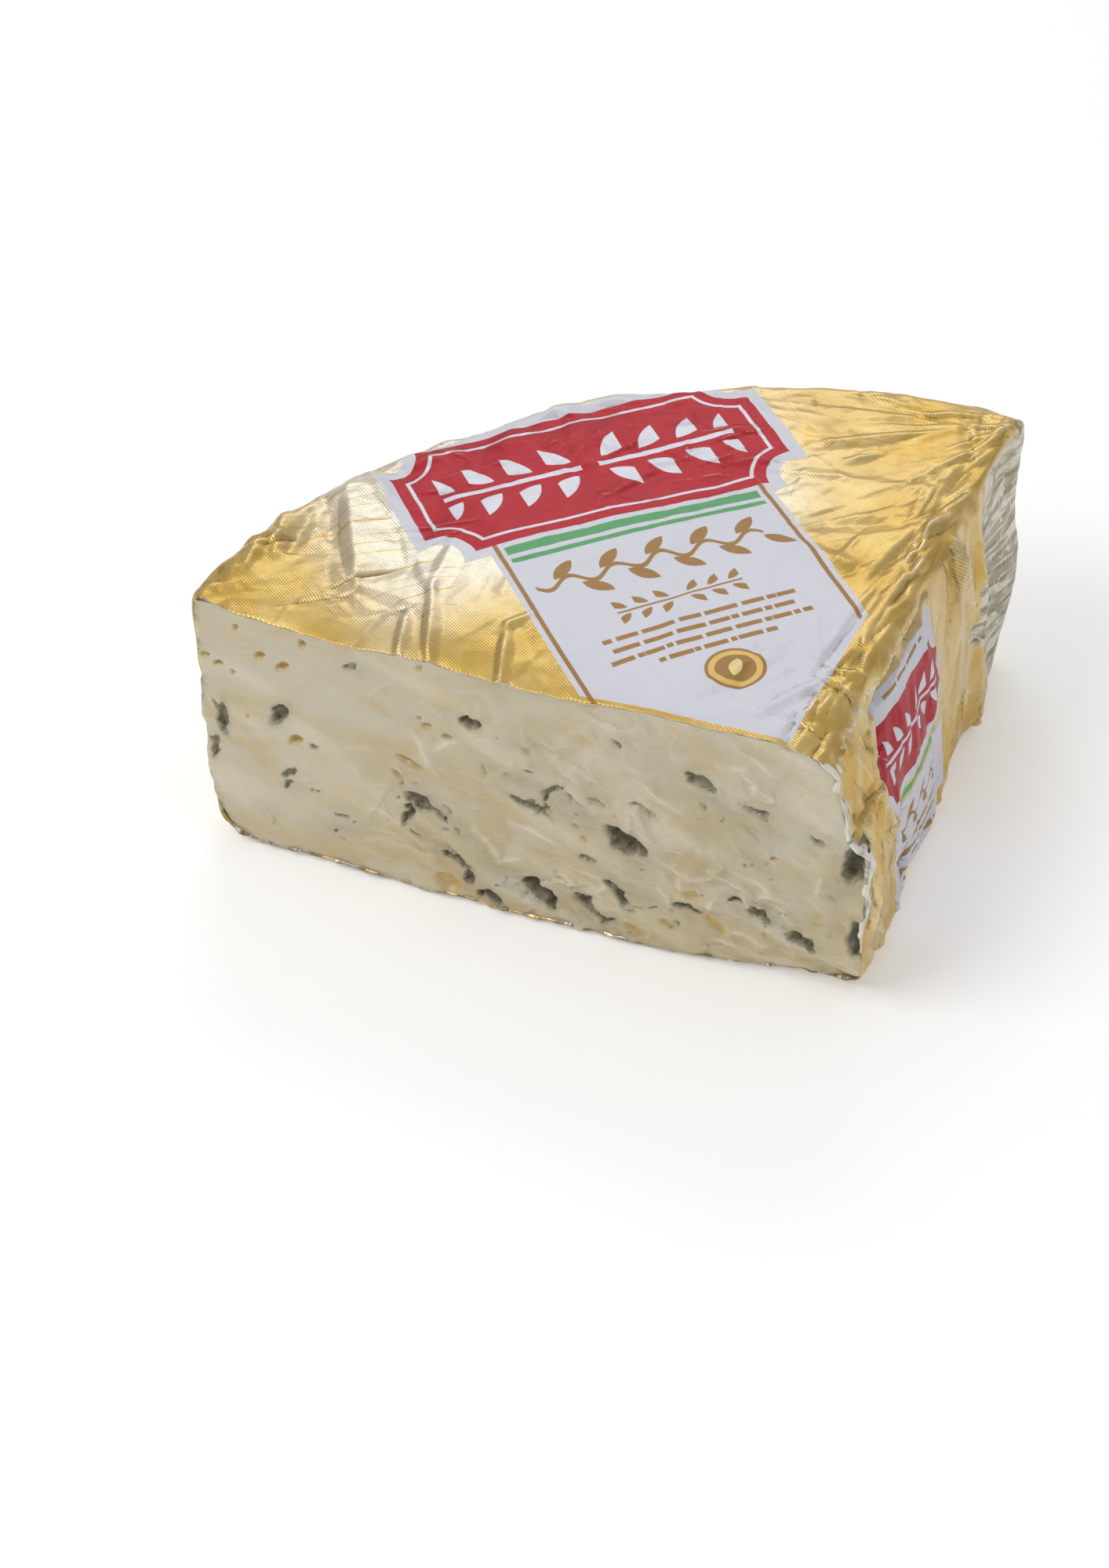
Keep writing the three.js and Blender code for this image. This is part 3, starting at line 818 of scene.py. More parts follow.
def face_detail(x, z):
    """Depth of the cut face below flat, and layers: how much it has of each colour and of tears."""
    warp_x = x + 0.5 * flat_noise(x, z, 2.8, 61) + 0.3 * flat_noise(x, z, 1.2, 62)
    warp_z = z + 0.5 * flat_noise(x, z, 2.8, 63) + 0.3 * flat_noise(x, z, 1.2, 64)
    drag = math.radians(-20)
    rough = 0.1 + 0.5 * ramp(x, -112, -50) + 0.5 * ramp(-z, -36, -4) * ramp(x, -125, -80)
    rough *= 0.55 + 0.9 * ramp(flat_noise(x, z, 14, 89), -0.5, 0.5)
    depth = 0.45 * flat_noise(x, z, 15, 65) + 0.15 * flat_noise(x, z, 5, 66, 3.0, drag)
    bend_x = x + 3 * flat_noise(x, z, 9, 78) + 0.8 * flat_noise(x, z, 2.8, 61)
    bend_z = z + 3 * flat_noise(x, z, 9, 79) + 0.8 * flat_noise(x, z, 2.8, 63)
    depth += 0.9 * rough * flat_noise(bend_x, bend_z, 7, 85, 2.2, drag)
    depth += 0.65 * rough * flat_noise(bend_x, bend_z, 3.2, 86, 1.8, drag - 0.5)
    depth += 0.35 * rough * flat_noise(warp_x, warp_z, 1.5, 90, 1.6, drag + 0.4)
    depth += 0.05 * flat_noise(x, z, 2.0, 67, 4.0, drag)
    depth += 0.03 * flat_noise(x, z, 0.9, 70, 3.0, drag)
    torn = np.abs(flat_noise(bend_x, bend_z, 4.0, 91, 1.7, drag - 0.3))
    flaky = rough * ramp(flat_noise(x, z, 11, 92), 0.0, 0.5)
    depth += 1.1 * flaky * torn
    flow = 1.5 * flat_noise(bend_x, bend_z, 16, 68, 2.2, drag)
    ledge = (flow % 1.0) ** 4
    patch = ramp(flat_noise(x, z, 8, 69), -0.1, 0.5)
    depth -= 0.6 * rough * ledge * patch

    mould, blue, amber = np.zeros(len(x)), np.zeros(len(x)), np.zeros(len(x))
    grain = flat_noise(x, z, 1.0, 82)
    for number, (*shape, deep, dark) in enumerate(POCKETS):
        away = pocket(warp_x, warp_z, shape, 200 + number)
        floor = 0.8 * deep * (1 + 0.25 * grain)
        depth += floor * ramp(-away, -1.1, -0.5) - 0.28 * bump_at(away, 1.3, 0.16)
        mould = np.maximum(mould, dark * ramp(-away, -1.2, -0.9))
        blue = np.maximum(blue, 0.5 * dark * np.exp(-np.maximum(away - 1, 0) * 2.4))
    for px, pz, length, width, degrees, deep in EYES:
        away = oval(warp_x, warp_z, px, pz, length, width, degrees)
        depth += deep * ramp(-away, -1.1, -0.5)
        amber = np.maximum(amber, 0.8 * ramp(-away, -1.25, -0.6))
    speckle = flat_noise(x, z, 1.9, 71, 2.0, drag) + 0.6 * flat_noise(x, z, 0.8, 72)
    for px, pz, length, width, degrees, strength in BLUE_ZONES:
        away = oval(warp_x, warp_z, px, pz, length, width, degrees)
        zone = np.exp(-(away**2))
        blue = np.maximum(blue, zone * strength * (0.65 + 0.5 * speckle))
    rng = random(83)
    for _ in range(FLECKS):
        px, pz, degrees = place_in_zones(rng)
        length, width = rng.uniform(0.4, 1.7), rng.uniform(0.25, 0.6)
        away = oval(bend_x, bend_z, px, pz, length, width, degrees)
        depth += 0.5 * ramp(-away, -1.2, -0.4)
        mould = np.maximum(mould, rng.uniform(0.25, 0.7) * ramp(-away, -1.5, -0.4))
    # Paler cream: real in random patches of the paste, painted highlight along raised ledges, torn
    # crests, curls and smears.
    cream_and_ridge_highlight = ramp(flat_noise(x, z, 6, 73, 3.0, drag), -0.1, 0.9) * 0.5
    cream_and_ridge_highlight = np.maximum(cream_and_ridge_highlight, 0.6 * rough * ledge * patch)
    cream_and_ridge_highlight = np.maximum(cream_and_ridge_highlight, 0.3 * flaky * bump_at(torn, 0, 0.3))
    for px, pz, length, degrees, rise in CURLS:
        ridge = curl(warp_x, warp_z, px, pz, length, degrees, 0.85)
        depth -= rise * ridge
        cream_and_ridge_highlight = np.maximum(cream_and_ridge_highlight, ridge)
    rng = random(84)
    for _ in range(SMEARS):
        px, pz = rng.uniform(-112, 6), abs(rng.normal(0, 26)) + 3
        length, degrees = rng.uniform(2, 7), rng.normal(-17, 30)
        ridge = curl(bend_x, bend_z, px, pz, length, degrees, rng.uniform(0.3, 0.9))
        depth -= rng.uniform(0.2, 0.7) * ridge
        cream_and_ridge_highlight = np.maximum(cream_and_ridge_highlight, 0.4 * ridge)
    layers = {"mould": mould, "blue": blue, "amber": amber, "cream_and_ridge_highlight": cream_and_ridge_highlight, "rough": rough}
    return depth, layers


def under_foil(points):
    """How far each point is outside the cheese, which stays clear of the foil's creases."""
    back = np.maximum(points[:, 1], 0)
    return outside(points) + CHEESE_GAP + CREASE_ROOM * (1 - np.exp(-((back / 5) ** 2)))


def make_cheese():
    """The cheese: a fine grid over the cut face, then rings that close in behind it."""
    columns = round((WALL_SWELL - FACE_LEFT) / FACE_CELL)
    rows = round(HEIGHT / FACE_CELL)
    shares = np.meshgrid(np.linspace(0, 1, columns), np.linspace(0, 1, rows))
    x_share, z_share = (share.ravel() for share in shares)
    x, z = face_outline(x_share, z_share)
    depth, layers = face_detail(x, z)
    border = np.minimum(x_share, 1 - x_share) * columns * FACE_CELL
    border = np.minimum(border, np.minimum(z_share, 1 - z_share) * HEIGHT)
    crumb = 0.5 * flat_noise(x, z, 3, 74) + 0.3 * flat_noise(x, z, 1.2, 75)
    depth += 0.3 * np.exp(-border / 0.6) * (0.8 + crumb)
    from_rind = np.minimum(x_share * columns, z_share * rows) * FACE_CELL
    patches = ramp(flat_noise(x, z, 5, 76) + 0.5 * flat_noise(x, z, 1.5, 77), -0.5, 0.4)
    rind = np.exp(-from_rind / 0.9) * patches
    face = np.column_stack([x, toe_offset(x, z) + depth, z])

    index = np.arange(rows * columns).reshape(rows, columns)
    loop = np.concatenate([index[0, :-1], index[:-1, -1], index[-1, :0:-1], index[:0:-1, 0]])
    rays = face[loop] - MIDDLE
    rays /= np.linalg.norm(rays, axis=1)[:, None]
    pole = np.array([0.15, 1.0, 0.0])
    pole /= np.linalg.norm(pole)
    turn = np.arccos(np.clip(rays @ pole, -1, 1))[:, None]
    points, faces = [face], grid_faces(index)
    before = loop
    for ring in range(1, RINGS + 1):
        share = (ring / (RINGS + 1)) ** 1.2
        heading = (np.sin((1 - share) * turn) * rays + np.sin(share * turn) * pole) / np.sin(turn)
        points.append(surface_along(MIDDLE, heading, under_foil))
        after = rows * columns + (ring - 1) * len(loop) + np.arange(len(loop))
        sides = [before, after, np.roll(after, -1), np.roll(before, -1)]
        faces.extend(np.column_stack(sides).tolist())
        before = after
    points.append(surface_along(MIDDLE, pole[None], under_foil))
    points = np.vstack(points)
    last = len(points) - 1
    faces.extend([a, last, b] for a, b in zip(before.tolist(), np.roll(before, -1).tolist()))
    behind = points[rows * columns :]
    cut_side = behind[:, 0] - wall_offset(behind[:, 1], behind[:, 2]) > -7
    rindless = cut_side | (behind[:, 2] > HEIGHT - 8)
    layers["deep"] = np.clip(depth / 3, 0, 1)
    spare = np.zeros(len(behind))
    attributes = {name: np.concatenate([values, spare]) for name, values in layers.items()}
    attributes["rind"] = np.concatenate([rind, np.where(rindless, 0, 1)])
    return mesh_object("cheese_body", points, faces, attributes)


# ---------------------------------------------------------------- shader maths


class Sum:
    """A number in a material, so that its node maths can be written as plain expressions."""

    def __init__(self, tree, socket):
        self.tree, self.socket = tree, socket

    def calc(self, operation, *others, clamp=False):
        node = self.tree.nodes.new("ShaderNodeMath")
        node.operation = operation
        node.use_clamp = clamp
        for slot, value in enumerate((self, *others)):
            if isinstance(value, Sum):
                self.tree.links.new(value.socket, node.inputs[slot])
            else:
                node.inputs[slot].default_value = value
        return Sum(self.tree, node.outputs[0])

    def __add__(self, other):
        return self.calc("ADD", other)

    __radd__ = __add__

    def __sub__(self, other):
        return self.calc("SUBTRACT", other)

    def __rsub__(self, other):
        return self.calc("MULTIPLY_ADD", -1.0, other)

    def __mul__(self, other):
        return self.calc("MULTIPLY", other)

    __rmul__ = __mul__

    def __truediv__(self, other):
        return self.calc("DIVIDE", other)

    def __neg__(self):
        return self.calc("MULTIPLY", -1.0)

    def __abs__(self):
        return self.calc("ABSOLUTE")

    def max(self, other):
        return self.calc("MAXIMUM", other)

    def min(self, other):
        return self.calc("MINIMUM", other)

    def sin(self):
        return self.calc("SINE")

    def wrap(self, span):
        """Repeats every span, from -span / 2 to span / 2."""
        return self.calc("WRAP", span / 2, -span / 2)

    def inside(self, soft=0.12):
        """1 where the number is below 0, 0 where it is above, over a narrow edge."""
        return (self * (-1 / soft) + 0.5).calc("ADD", 0.0, clamp=True)

    def eased(self, low, high):
        node = self.tree.nodes.new("ShaderNodeMapRange")
        node.interpolation_type = "SMOOTHSTEP"
        self.tree.links.new(self.socket, node.inputs["Value"])
        node.inputs["From Min"].default_value = low
        node.inputs["From Max"].default_value = high
        return Sum(self.tree, node.outputs["Result"])


def hypot(a, b):
    return (a * a + b * b).calc("SQRT")


def split_axes(tree, vector):
    node = tree.nodes.new("ShaderNodeSeparateXYZ")
    tree.links.new(vector, node.inputs[0])
    return [Sum(tree, output) for output in node.outputs]


class Paint:
    """A material being put together: its node tree, and the few kinds of node that it needs."""

    def __init__(self, name):
        self.material = bpy.data.materials.new(name)
        self.material.use_nodes = True
        self.tree = self.material.node_tree
        self.shader = self.tree.nodes["Principled BSDF"]

    def attribute(self, name):
        node = self.tree.nodes.new("ShaderNodeAttribute")
        node.attribute_name = name
        return node.outputs

    def number(self, name):
        return Sum(self.tree, self.attribute(name)["Fac"])

    def parts(self, name):
        return split_axes(self.tree, self.attribute(name)["Vector"])

    def noise(self, size, detail=3.0, stretch=(1, 1, 1), distortion=0.0):
        """Noise from 0 to 1 with lumps about size mm apart."""
        node = self.tree.nodes.new("ShaderNodeTexNoise")
        node.inputs["Scale"].default_value = 1.0
        node.inputs["Detail"].default_value = detail
        node.inputs["Distortion"].default_value = distortion
        place = self.tree.nodes.new("ShaderNodeMapping")
        place.inputs["Scale"].default_value = [1 / (size * MM * share) for share in stretch]
        self.tree.links.new(self.object_place(), place.inputs["Vector"])
        self.tree.links.new(place.outputs[0], node.inputs["Vector"])
        return Sum(self.tree, node.outputs["Fac"])

    def cells(self, size, bend):
        """Distance from the middle of the nearest cell: flats that meet in sharp creases."""
        node = self.tree.nodes.new("ShaderNodeTexVoronoi")
        node.inputs["Scale"].default_value = 1 / (size * MM)
        wander = self.tree.nodes.new("ShaderNodeTexNoise")
        wander.inputs["Scale"].default_value = 1 / (size * MM)
        shift = self.tree.nodes.new("ShaderNodeVectorMath")
        shift.operation = "MULTIPLY_ADD"
        self.tree.links.new(wander.outputs["Color"], shift.inputs[0])
        shift.inputs[1].default_value = (bend * MM,) * 3
        self.tree.links.new(self.object_place(), wander.inputs["Vector"])
        self.tree.links.new(self.object_place(), shift.inputs[2])
        self.tree.links.new(shift.outputs[0], node.inputs["Vector"])
        return Sum(self.tree, node.outputs["Distance"])

    def object_place(self):
        node = self.tree.nodes.new("ShaderNodeTexCoord")
        return node.outputs["Object"]

    def mix(self, share, first, second):
        """Colour first where share is 0, second where it is 1. Colours are sockets or triples."""
        node = self.tree.nodes.new("ShaderNodeMix")
        node.data_type = "RGBA"
        self.tree.links.new(share.socket, node.inputs["Factor"])
        for slot, colour in ((6, first), (7, second)):
            if isinstance(colour, tuple):
                node.inputs[slot].default_value = (*colour, 1.0)
            else:
                self.tree.links.new(colour, node.inputs[slot])
        return node.outputs[2]

    def inks(self, colour, *layers):
        """Colour with shapes printed over it, each where its distance is below 0."""
        for shape, ink in layers:
            colour = self.mix(shape.inside(), colour, ink)
        return colour

    def bump(self, height, distance, strength, after=None):
        """Bump from a number, where 1 is distance mm high."""
        node = self.tree.nodes.new("ShaderNodeBump")
        node.inputs["Strength"].default_value = strength
        node.inputs["Distance"].default_value = distance * MM
        self.tree.links.new(height.socket, node.inputs["Height"])
        if after:
            self.tree.links.new(after, node.inputs["Normal"])
        return node.outputs[0]

    def feed(self, name, value):
        socket = value.socket if isinstance(value, Sum) else value
        self.tree.links.new(socket, self.shader.inputs[name])


def srgb(red, green, blue):
    """A linear colour from everyday 0 to 255 values."""
    shares = [value / 255 for value in (red, green, blue)]
    return tuple(s / 12.92 if s <= 0.04045 else ((s + 0.055) / 1.055) ** 2.4 for s in shares)


# ---------------------------------------------------------------- cheese material


def cheese_material():
    paint = Paint("cheese_paste")
    along, _, level = split_axes(paint.tree, paint.object_place())
    low = (level / (HEIGHT * MM)).eased(1.0, 0.0)
    cloudy = paint.noise(11, 4, stretch=(2.2, 1, 1))
    warm = (low * (along.eased(-0.08, 0.03) * 0.4 + 0.2) + cloudy * 0.7).eased(0.25, 0.95)
    paste = paint.mix(warm, srgb(206, 196, 172), srgb(194, 175, 131))
    blotch = paint.noise(8, 4, stretch=(2, 1, 1), distortion=0.8)
    paste = paint.mix(blotch.eased(0.5, 0.7) * 0.7, paste, srgb(200, 179, 132))
    paste = paint.mix(blotch.eased(0.5, 0.3) * 0.5, paste, srgb(206, 200, 182))
    # Paler cream: partly the paste's own patches, partly painted highlight on raised ridges.
    paste = paint.mix(paint.number("cream_and_ridge_highlight") * 0.8, paste, srgb(234, 226, 206))
    paste = paint.mix(paint.number("amber") * 0.85, paste, srgb(224, 192, 116))
    grain = paint.noise(0.9, 4)
    blue = paint.number("blue") * (grain.eased(0.25, 0.7) * 0.5 + 0.65)
    paste = paint.mix(blue.min(1.0), paste, srgb(142, 142, 132))
    velvet = paint.noise(1.6, 5)
    mould = paint.mix(velvet.eased(0.32, 0.68), srgb(128, 120, 98), srgb(186, 178, 152))
    mould = paint.mix(paint.number("deep") * 0.7, mould, srgb(106, 99, 80))
    edge = (paint.number("mould") + (grain - 0.5) * 0.7).eased(0.3, 0.65)
    paste = paint.mix(edge, paste, mould)
    rind = paint.mix(velvet.eased(0.35, 0.65), srgb(84, 78, 64), srgb(156, 144, 116))
    paste = paint.mix(paint.number("rind") * grain.eased(0.25, 0.55), paste, rind)
    paint.feed("Base Color", paste)
    gloss = 0.16 + blotch * 0.2 + edge * 0.5
    paint.feed("Roughness", gloss)
    paint.shader.inputs["Subsurface Weight"].default_value = 0.15
    paint.shader.inputs["Subsurface Radius"].default_value = (1.0, 0.85, 0.6)
    paint.shader.inputs["Subsurface Scale"].default_value = 0.9 * MM
    paint.shader.inputs["Specular IOR Level"].default_value = 0.45
    fine = paint.bump(paint.noise(0.8, 3), 0.1, 0.4)
    smears = paint.noise(2.6, 3, stretch=(1.8, 1, 1), distortion=0.4) * paint.number("rough")
    paint.feed("Normal", paint.bump(smears, 0.9, 0.7, fine))
    return paint.material


# ---------------------------------------------------------------- foil material

GOLD = srgb(213, 183, 113)
GOLD_DEEP = srgb(199, 164, 84)
PALE = srgb(224, 216, 196)
# Lit copy of the silver: painted light on its folds.
SILVER = srgb(214, 208, 192)
WHITE = srgb(214, 214, 224)
RED = srgb(176, 20, 38)
GREEN = srgb(92, 164, 106)
BROWN = srgb(162, 120, 62)
OCHRE = srgb(200, 162, 82)
STAMP_RING = srgb(226, 190, 104)
STAMP_LEAF = srgb(238, 214, 150)
# Shaded copy of the silver: painted shade in its folds.
SILVER_SHADED = srgb(160, 151, 128)
SILVER_PRINT = srgb(126, 116, 92)
PAPER = srgb(236, 232, 224)
WORN = srgb(226, 222, 214)
# Crest colour: partly worn ink, partly painted highlight. Valley colour: painted shade.
CREST_WEAR_AND_HIGHLIGHT = srgb(238, 232, 214)
VALLEY_SHADE = srgb(84, 68, 44)
EMBOSS_PITCH = 0.62  # between the fine lines pressed into the foil

# Leaves drawn in outline on the gold: x, y, half length, degrees.
SKETCHED_LEAVES = (
    (-112, 56, 4.5, 70),
    (-104, 50, 4.0, 10),
    (-131, 33, 3.6, 100),
    (-136, 24, 3.2, 60),
)


def box_edge(u, v, middle_u, middle_v, half_u, half_v):
    """Below 0 inside an upright box."""
    return (abs(u - middle_u) - half_u).max(abs(v - middle_v) - half_v)


def cartouche(u, v, middle_u, middle_v, half_u, half_v, scoop):
    """A band whose four corners are scooped out. Below 0 inside."""
    away_u, away_v = abs(u - middle_u), abs(v - middle_v)
    box = (away_u - half_u).max(away_v - half_v)
    corner = scoop - hypot(away_u - half_u, away_v - half_v)
    return box.max(corner)


def leaf(u, v, middle_u, middle_v, half_length, half_width, degrees):
    """A pointed leaf, where two circles overlap. Below 0 inside."""
    along, across = turned(u - middle_u, v - middle_v, math.radians(degrees))
    radius = (half_length**2 + half_width**2) / (2 * half_width)
    return hypot(along, abs(across) + (radius - half_width)) - radius


def garland(u, v, half_u, pitch, size):
    """A stem with pairs of leaves that point outward from its middle. Below 0 inside."""
    out = abs(u)
    step = (out - pitch / 2).wrap(pitch)
    leaves = leaf(step, abs(v), 0.4 * size, 0.62 * size, 0.62 * size, 0.24 * size, 38)
    stem = abs(v) - 0.07 * size
    return leaves.min(stem).max(out - half_u)


def vine(u, v, count, pitch, size):
    """A waving stem with count leaves on each side. Below 0 inside."""
    half_u = count * pitch / 2
    wave = (u * (2 * math.pi / pitch)).sin() * (0.22 * size)
    stem = (abs(v - wave) - 0.09 * size).max(abs(u) - half_u)
    leaves = []
    for side in (1, -1):
        start = u - (pitch / 4) * (1 - side)
        centre, lean = 0.52 * size * side, 42 * side
        one = leaf(start.wrap(pitch), v, 0.3 * size, centre, 0.5 * size, 0.2 * size, lean)
        leaves.append(one.max(abs(start) - half_u))
    return stem.min(leaves[0]).min(leaves[1])


def dashes(u, v, lines, pitch, thick):
    """Rows of broken rules, in place of small print. Below 0 inside.

    Each of the lines is the half width of its row. The first is at v = 0, the next ones lower.
    """
    rows = None
    for row, half in enumerate(lines):
        broken = ((u * (2.1 + 0.3 * row)).sin() + (u * 0.83 + 1.7 * row).sin()) * 0.6 - 0.75
        bar = (abs(v + row * pitch) - thick / 2).max(abs(u) - half).max(broken)
        rows = bar if rows is None else rows.min(bar)
    return rows


def furrows(across, along, pitch):
    """Thin drawn lines, unevenly spaced and broken here and there. Below 0 on a line."""
    uneven = across + (across * (1.7 / pitch)).sin() * (0.3 * pitch)
    broken = ((along * 0.31).sin() + (along * 0.13 + across).sin()) * 0.5 - 0.62
    return (abs(uneven.wrap(pitch)) - 0.22).max(broken)


def sketches(x, y, band):
    """Where the ochre drawings are: ploughed fields, a few leaves in outline and a garland."""
    slant_a, slant_b = x * 0.77 + y * 0.64, y * 0.77 - x * 0.64
    bowed = slant_b + (slant_a + 60) * (slant_a + 60) * 0.004
    fields = furrows(bowed, slant_a, 4.6).max(box_edge(x, y, -120, 36, 24, 25))
    far_a, far_b = x * 0.97 + y * 0.24, y * 0.97 - x * 0.24
    far_bowed = far_b - (far_a - 10) * (far_a - 10) * 0.006
    slopes = furrows(far_bowed, far_a, 6.5).max(box_edge(x, y, -26, 115, 24, 15))
    drawn = fields.min(slopes)
    for place_x, place_y, half, degrees in SKETCHED_LEAVES:
        outline = abs(leaf(x, y, place_x, place_y, half, half * 0.4, degrees)) - 0.22
        drawn = drawn.min(outline)
    drawn = drawn.min(garland(far_a + 3, far_b - 116, 15, 5, 5))
    return drawn.max(4.2 - band).inside(0.25)


def top_print(paint, gold):
    """The print on top: colour and how much ink. p runs out from the wheel's centre, q across."""
    p, q, _ = paint.parts("label")
    x, y, _ = paint.parts("sheet")
    band = cartouche(q, p, 8, 131, 45, 21.5, 9)
    glow = band.eased(36, 7) * p.eased(68, 108) * (1 - q.eased(36, 62) * 0.8)
    colour = paint.mix(glow, gold, PALE)
    colour = paint.mix(sketches(x, y, band) * 0.7, colour, OCHRE)
    panel = box_edge(q, p, 9, 30, 34.5, 84).max(x + 7)
    white = panel.min(band - 3.2).max(1.3 - y)
    rules = (abs(abs(q - 9) - 32.6) - 0.55).max(abs(p - 70) - 40).max(panel + 1.2)
    title = vine(q - 7, p - 91, 5, 11, 8)
    sub = garland(q - 8, p - 76, 15, 5.0, 4.4)
    small = dashes(q - 9, p - 67.5, (23, 22, 24, 14), 3.7, 1.5)
    stamp = hypot(p - 47, q - 9)
    stamp_leaf = leaf(q - 9, p - 47, 0, 0, 3.2, 1.5, 60)
    stripes = (abs(p - 106.2) - 1.5).min(abs(p - 102.4) - 0.8).max(abs(q - 9) - 31)
    sprig = garland(q - 8, p - 131, 36, 9.5, 11).max(2.2 - hypot(q - 8, p - 131))
    keyline = abs(band + 3.4) - 0.45
    colour = paint.inks(
        colour,
        (white, WHITE),
        (rules.min(title).min(sub).min(small), BROWN),
        (stamp - 6.8, BROWN),
        (abs(stamp - 5.3) - 0.7, STAMP_RING),
        (stamp_leaf, STAMP_LEAF),
        (stripes, GREEN),
        (band, RED),
        (sprig.min(keyline), WHITE),
    )
    return colour, white.inside() - band.inside() * 0.35


def wall_print(paint, gold):
    """The smaller print on the wrapped side: colour and how much ink."""
    _, y, z = paint.parts("sheet")
    band = cartouche(y, z, 45, 47, 22.5, 10, 5)
    glow = band.eased(14, 2) * y.eased(14, 44) * 0.45
    # Paler patches at random over the side's gold.
    pale_patches = paint.noise(7, 3, stretch=(1, 1, 3), distortion=0.8).eased(0.4, 0.7) * 0.45
    colour = paint.mix(glow.max(pale_patches), gold, PALE)
    panel = box_edge(y, z, 47, 14, 22, 17).min(box_edge(y, z, 47, 54, 20, 9))
    white = panel.min(band - 2.2)
    title = vine(y - 47, z - 23, 4, 8, 5.5)
    small = dashes(y - 47, z - 15, (17, 15, 18), 3.4, 1.3)
    line = dashes(y - 45, z - 61, (12,), 3.4, 1.0)
    colour = paint.inks(
        colour,
        (white, WHITE),
        (title.min(small).min(line), BROWN),
        (box_edge(y, z, 47, 33, 15, 0.9), GREEN),
        (band, RED),
        (garland(y - 45, z - 47, 17, 5.4, 6.4), WHITE),
    )
    return colour, white.inside() - band.inside() * 0.35


def worn_line(paint, x, y, z):
    """Where the print has rubbed off, in a broken line along the wrapped side's shoulder."""
    line = abs(z - 66 + (y * 0.9).sin() * 0.5 + (y * 2.3).sin() * 0.3) - 0.4
    reach = (abs(y - 33) - 26).max(-4 - x)
    gaps = (y * 1.7).sin() + (y * 0.6).sin() - 0.9
    return line.max(reach).max(gaps).inside(0.2) * paint.noise(1.2, 2).eased(0.4, 0.5)


def foil_material():
    paint = Paint("printed_foil")
    patchy = paint.noise(14, 4)
    gold = paint.mix(patchy.eased(0.35, 0.65), GOLD_DEEP, GOLD)
    top, top_ink = top_print(paint, gold)
    wall, wall_ink = wall_print(paint, gold)
    on_wall = paint.number("on_wall").eased(0.45, 0.55)
    colour = paint.mix(on_wall, top, wall)
    inked = top_ink * (1 - on_wall) + wall_ink * on_wall
    silver = paint.number("silver")
    x, y, z = paint.parts("sheet")
    lines = dashes(y - 118, z - 58, (22,) * 12, 4.4, 1.3)
    # Painted light and shade in stretched streaks, standing in for the silver's wave folds.
    fold_light_and_shade = paint.noise(5, 4, stretch=(1, 2.6, 0.7), distortion=1.6)
    grey = paint.mix(fold_light_and_shade.eased(0.4, 0.6), SILVER_SHADED, SILVER)
    grey = paint.mix(lines.inside() * 0.6, grey, SILVER_PRINT)
    colour = paint.mix(silver, colour, grey)
    paper = paint.number("paper").eased(0.4, 0.55)
    colour = paint.mix(paper, colour, PAPER)
    inked = (inked * (1 - silver)).max(paper)
    colour = paint.mix(worn_line(paint, x, y, z) * 0.8, colour, WORN)
    bend = paint.number("bend")
    # Painted highlight and worn ink on crests, painted shade in valleys, by how sharply the foil
    # bends.
    colour = paint.mix(bend.eased(0.08, 0.6) * 0.4, colour, CREST_WEAR_AND_HIGHLIGHT)
    colour = paint.mix((-bend).eased(0.06, 0.5) * 0.55, colour, VALLEY_SHADE)
    paint.feed("Base Color", colour)
    paint.feed("Metallic", 0.8 - inked * 0.66)
    paint.feed("Roughness", 0.34 + inked * 0.12 + patchy * 0.08)
    turn = 2 * math.pi / EMBOSS_PITCH
    emboss = ((x * 0.55 + y * 0.84 + z * 0.6) * turn).sin()
    pressed = paint.bump(emboss, 0.03, 0.6)
    crumpled = paint.bump(paint.cells(8, 1.4), 0.8, 0.45, pressed)
    paint.feed("Normal", paint.bump(paint.cells(2.6, 1.0), 0.16, 0.4, crumpled))
    return paint.material


# ---------------------------------------------------------------- pieces

foil = make_foil()
foil.data.materials.append(foil_material())
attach(foil, "root")
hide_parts("foil_wrapper")

cheese = make_cheese()
cheese.data.materials.append(cheese_material())
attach(cheese, "root")
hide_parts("cheese")

# ---------------------------------------------------------------- camera, floor and light

SKY_TOP = 0.62  # strength of the world's light from above and behind
SKY_EDGE = 0.2  # and from in front
FLOOR_HALF = 4.0  # metres
FLOOR_GAP = 0.2  # below the wedge, so that the two don't fight
LIT_PLACE = (-70, 50, 30)  # what the lights look at
LENS = 84.7
SENSOR = 36.0
CAMERA_TARGET = (-83.84, 46.87, 0.0)  # on the surface that the wedge stands on, in wedge mm
CAMERA_DISTANCE = 878.5
CAMERA_AZIMUTH = 25.39
CAMERA_ELEVATION = 38.97
CAMERA_ROLL = -1.83


def aim(obj, target, azimuth, elevation, distance, roll=0.0):
    """Stands a camera or light off from target, looking at it. Azimuth 0 is in front of the cut."""
    turn, rise = math.radians(azimuth), math.radians(elevation)
    flat = math.cos(rise)
    back = Vector((math.sin(turn) * flat, -math.cos(turn) * flat, math.sin(rise)))
    obj.location = Vector(to_frame(target)) + back * distance * MM
    obj.rotation_mode = "QUATERNION"
    tilt = Quaternion((0, 0, 1), math.radians(roll))
    obj.rotation_quaternion = (-back).to_track_quat("-Z", "Y") @ tilt


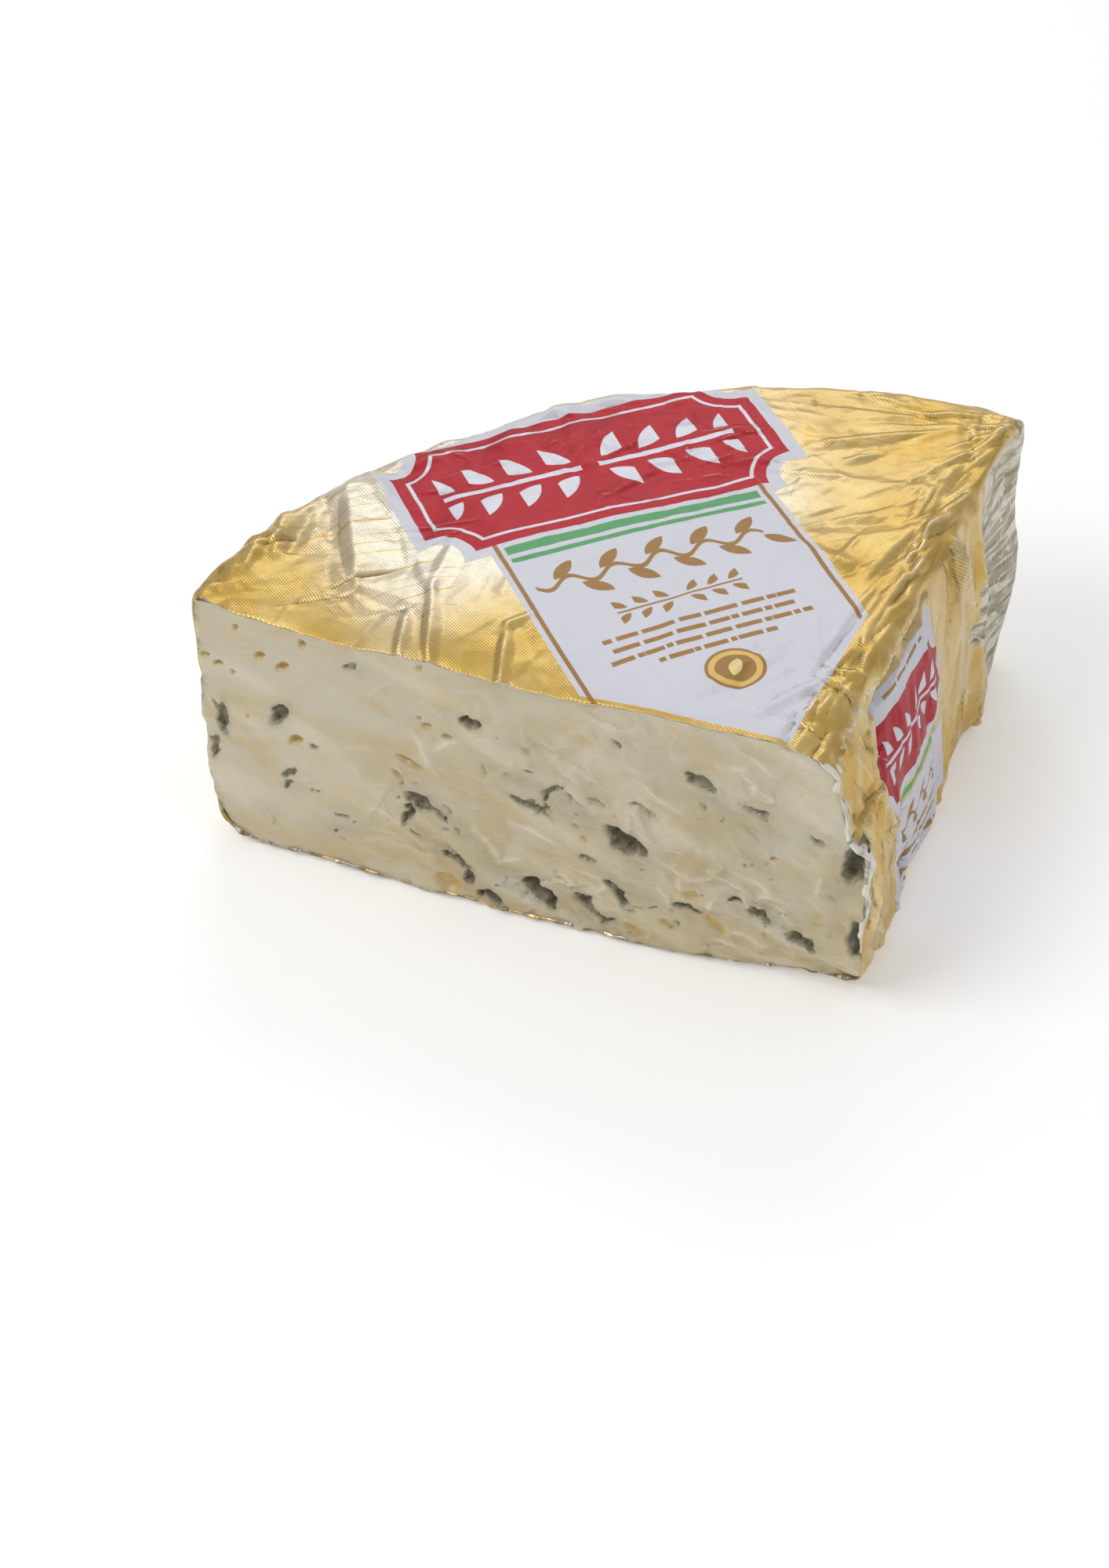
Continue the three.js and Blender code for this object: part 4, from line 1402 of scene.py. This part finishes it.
def make_camera():
    data = bpy.data.cameras.new("camera")
    data.lens = LENS
    data.sensor_width = SENSOR
    camera = add_object("camera", data)
    aim(camera, CAMERA_TARGET, CAMERA_AZIMUTH, CAMERA_ELEVATION, CAMERA_DISTANCE, CAMERA_ROLL)
    bpy.context.scene.camera = camera


def make_floor():
    half = FLOOR_HALF
    corners = [(-half, -half, 0), (half, -half, 0), (half, half, 0), (-half, half, 0)]
    mesh = bpy.data.meshes.new("floor")
    mesh.from_pydata(corners, [], [(0, 1, 2, 3)])
    floor = add_object("floor", mesh)
    floor.location.z = cad_box[0].z - FLOOR_GAP * MM
    paint = Paint("floor")
    paint.shader.inputs["Base Color"].default_value = (0.9, 0.9, 0.9, 1)
    paint.shader.inputs["Roughness"].default_value = 0.8
    paint.shader.inputs["Emission Color"].default_value = (1, 1, 1, 1)
    paint.shader.inputs["Emission Strength"].default_value = 0.26
    mesh.materials.append(paint.material)


def soft_light(name, azimuth, elevation, distance, size, power):
    data = bpy.data.lights.new(name, "AREA")
    data.shape = "RECTANGLE"
    data.size, data.size_y = size
    data.energy = power
    aim(add_object(name, data), LIT_PLACE, azimuth, elevation, distance)


def make_world():
    """Soft light from above and behind, dim in front, so that creased foil has contrast."""
    world = bpy.data.worlds.new("studio")
    world.use_nodes = True
    tree = world.node_tree
    coordinates = tree.nodes.new("ShaderNodeTexCoord")
    east, north, up = split_axes(tree, coordinates.outputs["Generated"])
    share = (up * 0.8 + north * 0.55 - east * 0.05).eased(0.0, 0.9)
    strength = share * (SKY_TOP - SKY_EDGE) + SKY_EDGE
    background = tree.nodes["Background"]
    tree.links.new(strength.socket, background.inputs["Strength"])
    background.inputs["Color"].default_value = (1.0, 0.995, 0.985, 1)
    bpy.context.scene.world = world


make_camera()
make_floor()
soft_light("key", -40, 50, 1200, (0.8, 0.6), 5.8)
soft_light("back", 200, 42, 1300, (0.7, 0.4), 2.6)
soft_light("fill", 70, 30, 1400, (0.4, 0.9), 1.2)
make_world()
bpy.context.scene.view_settings.view_transform = "Standard"
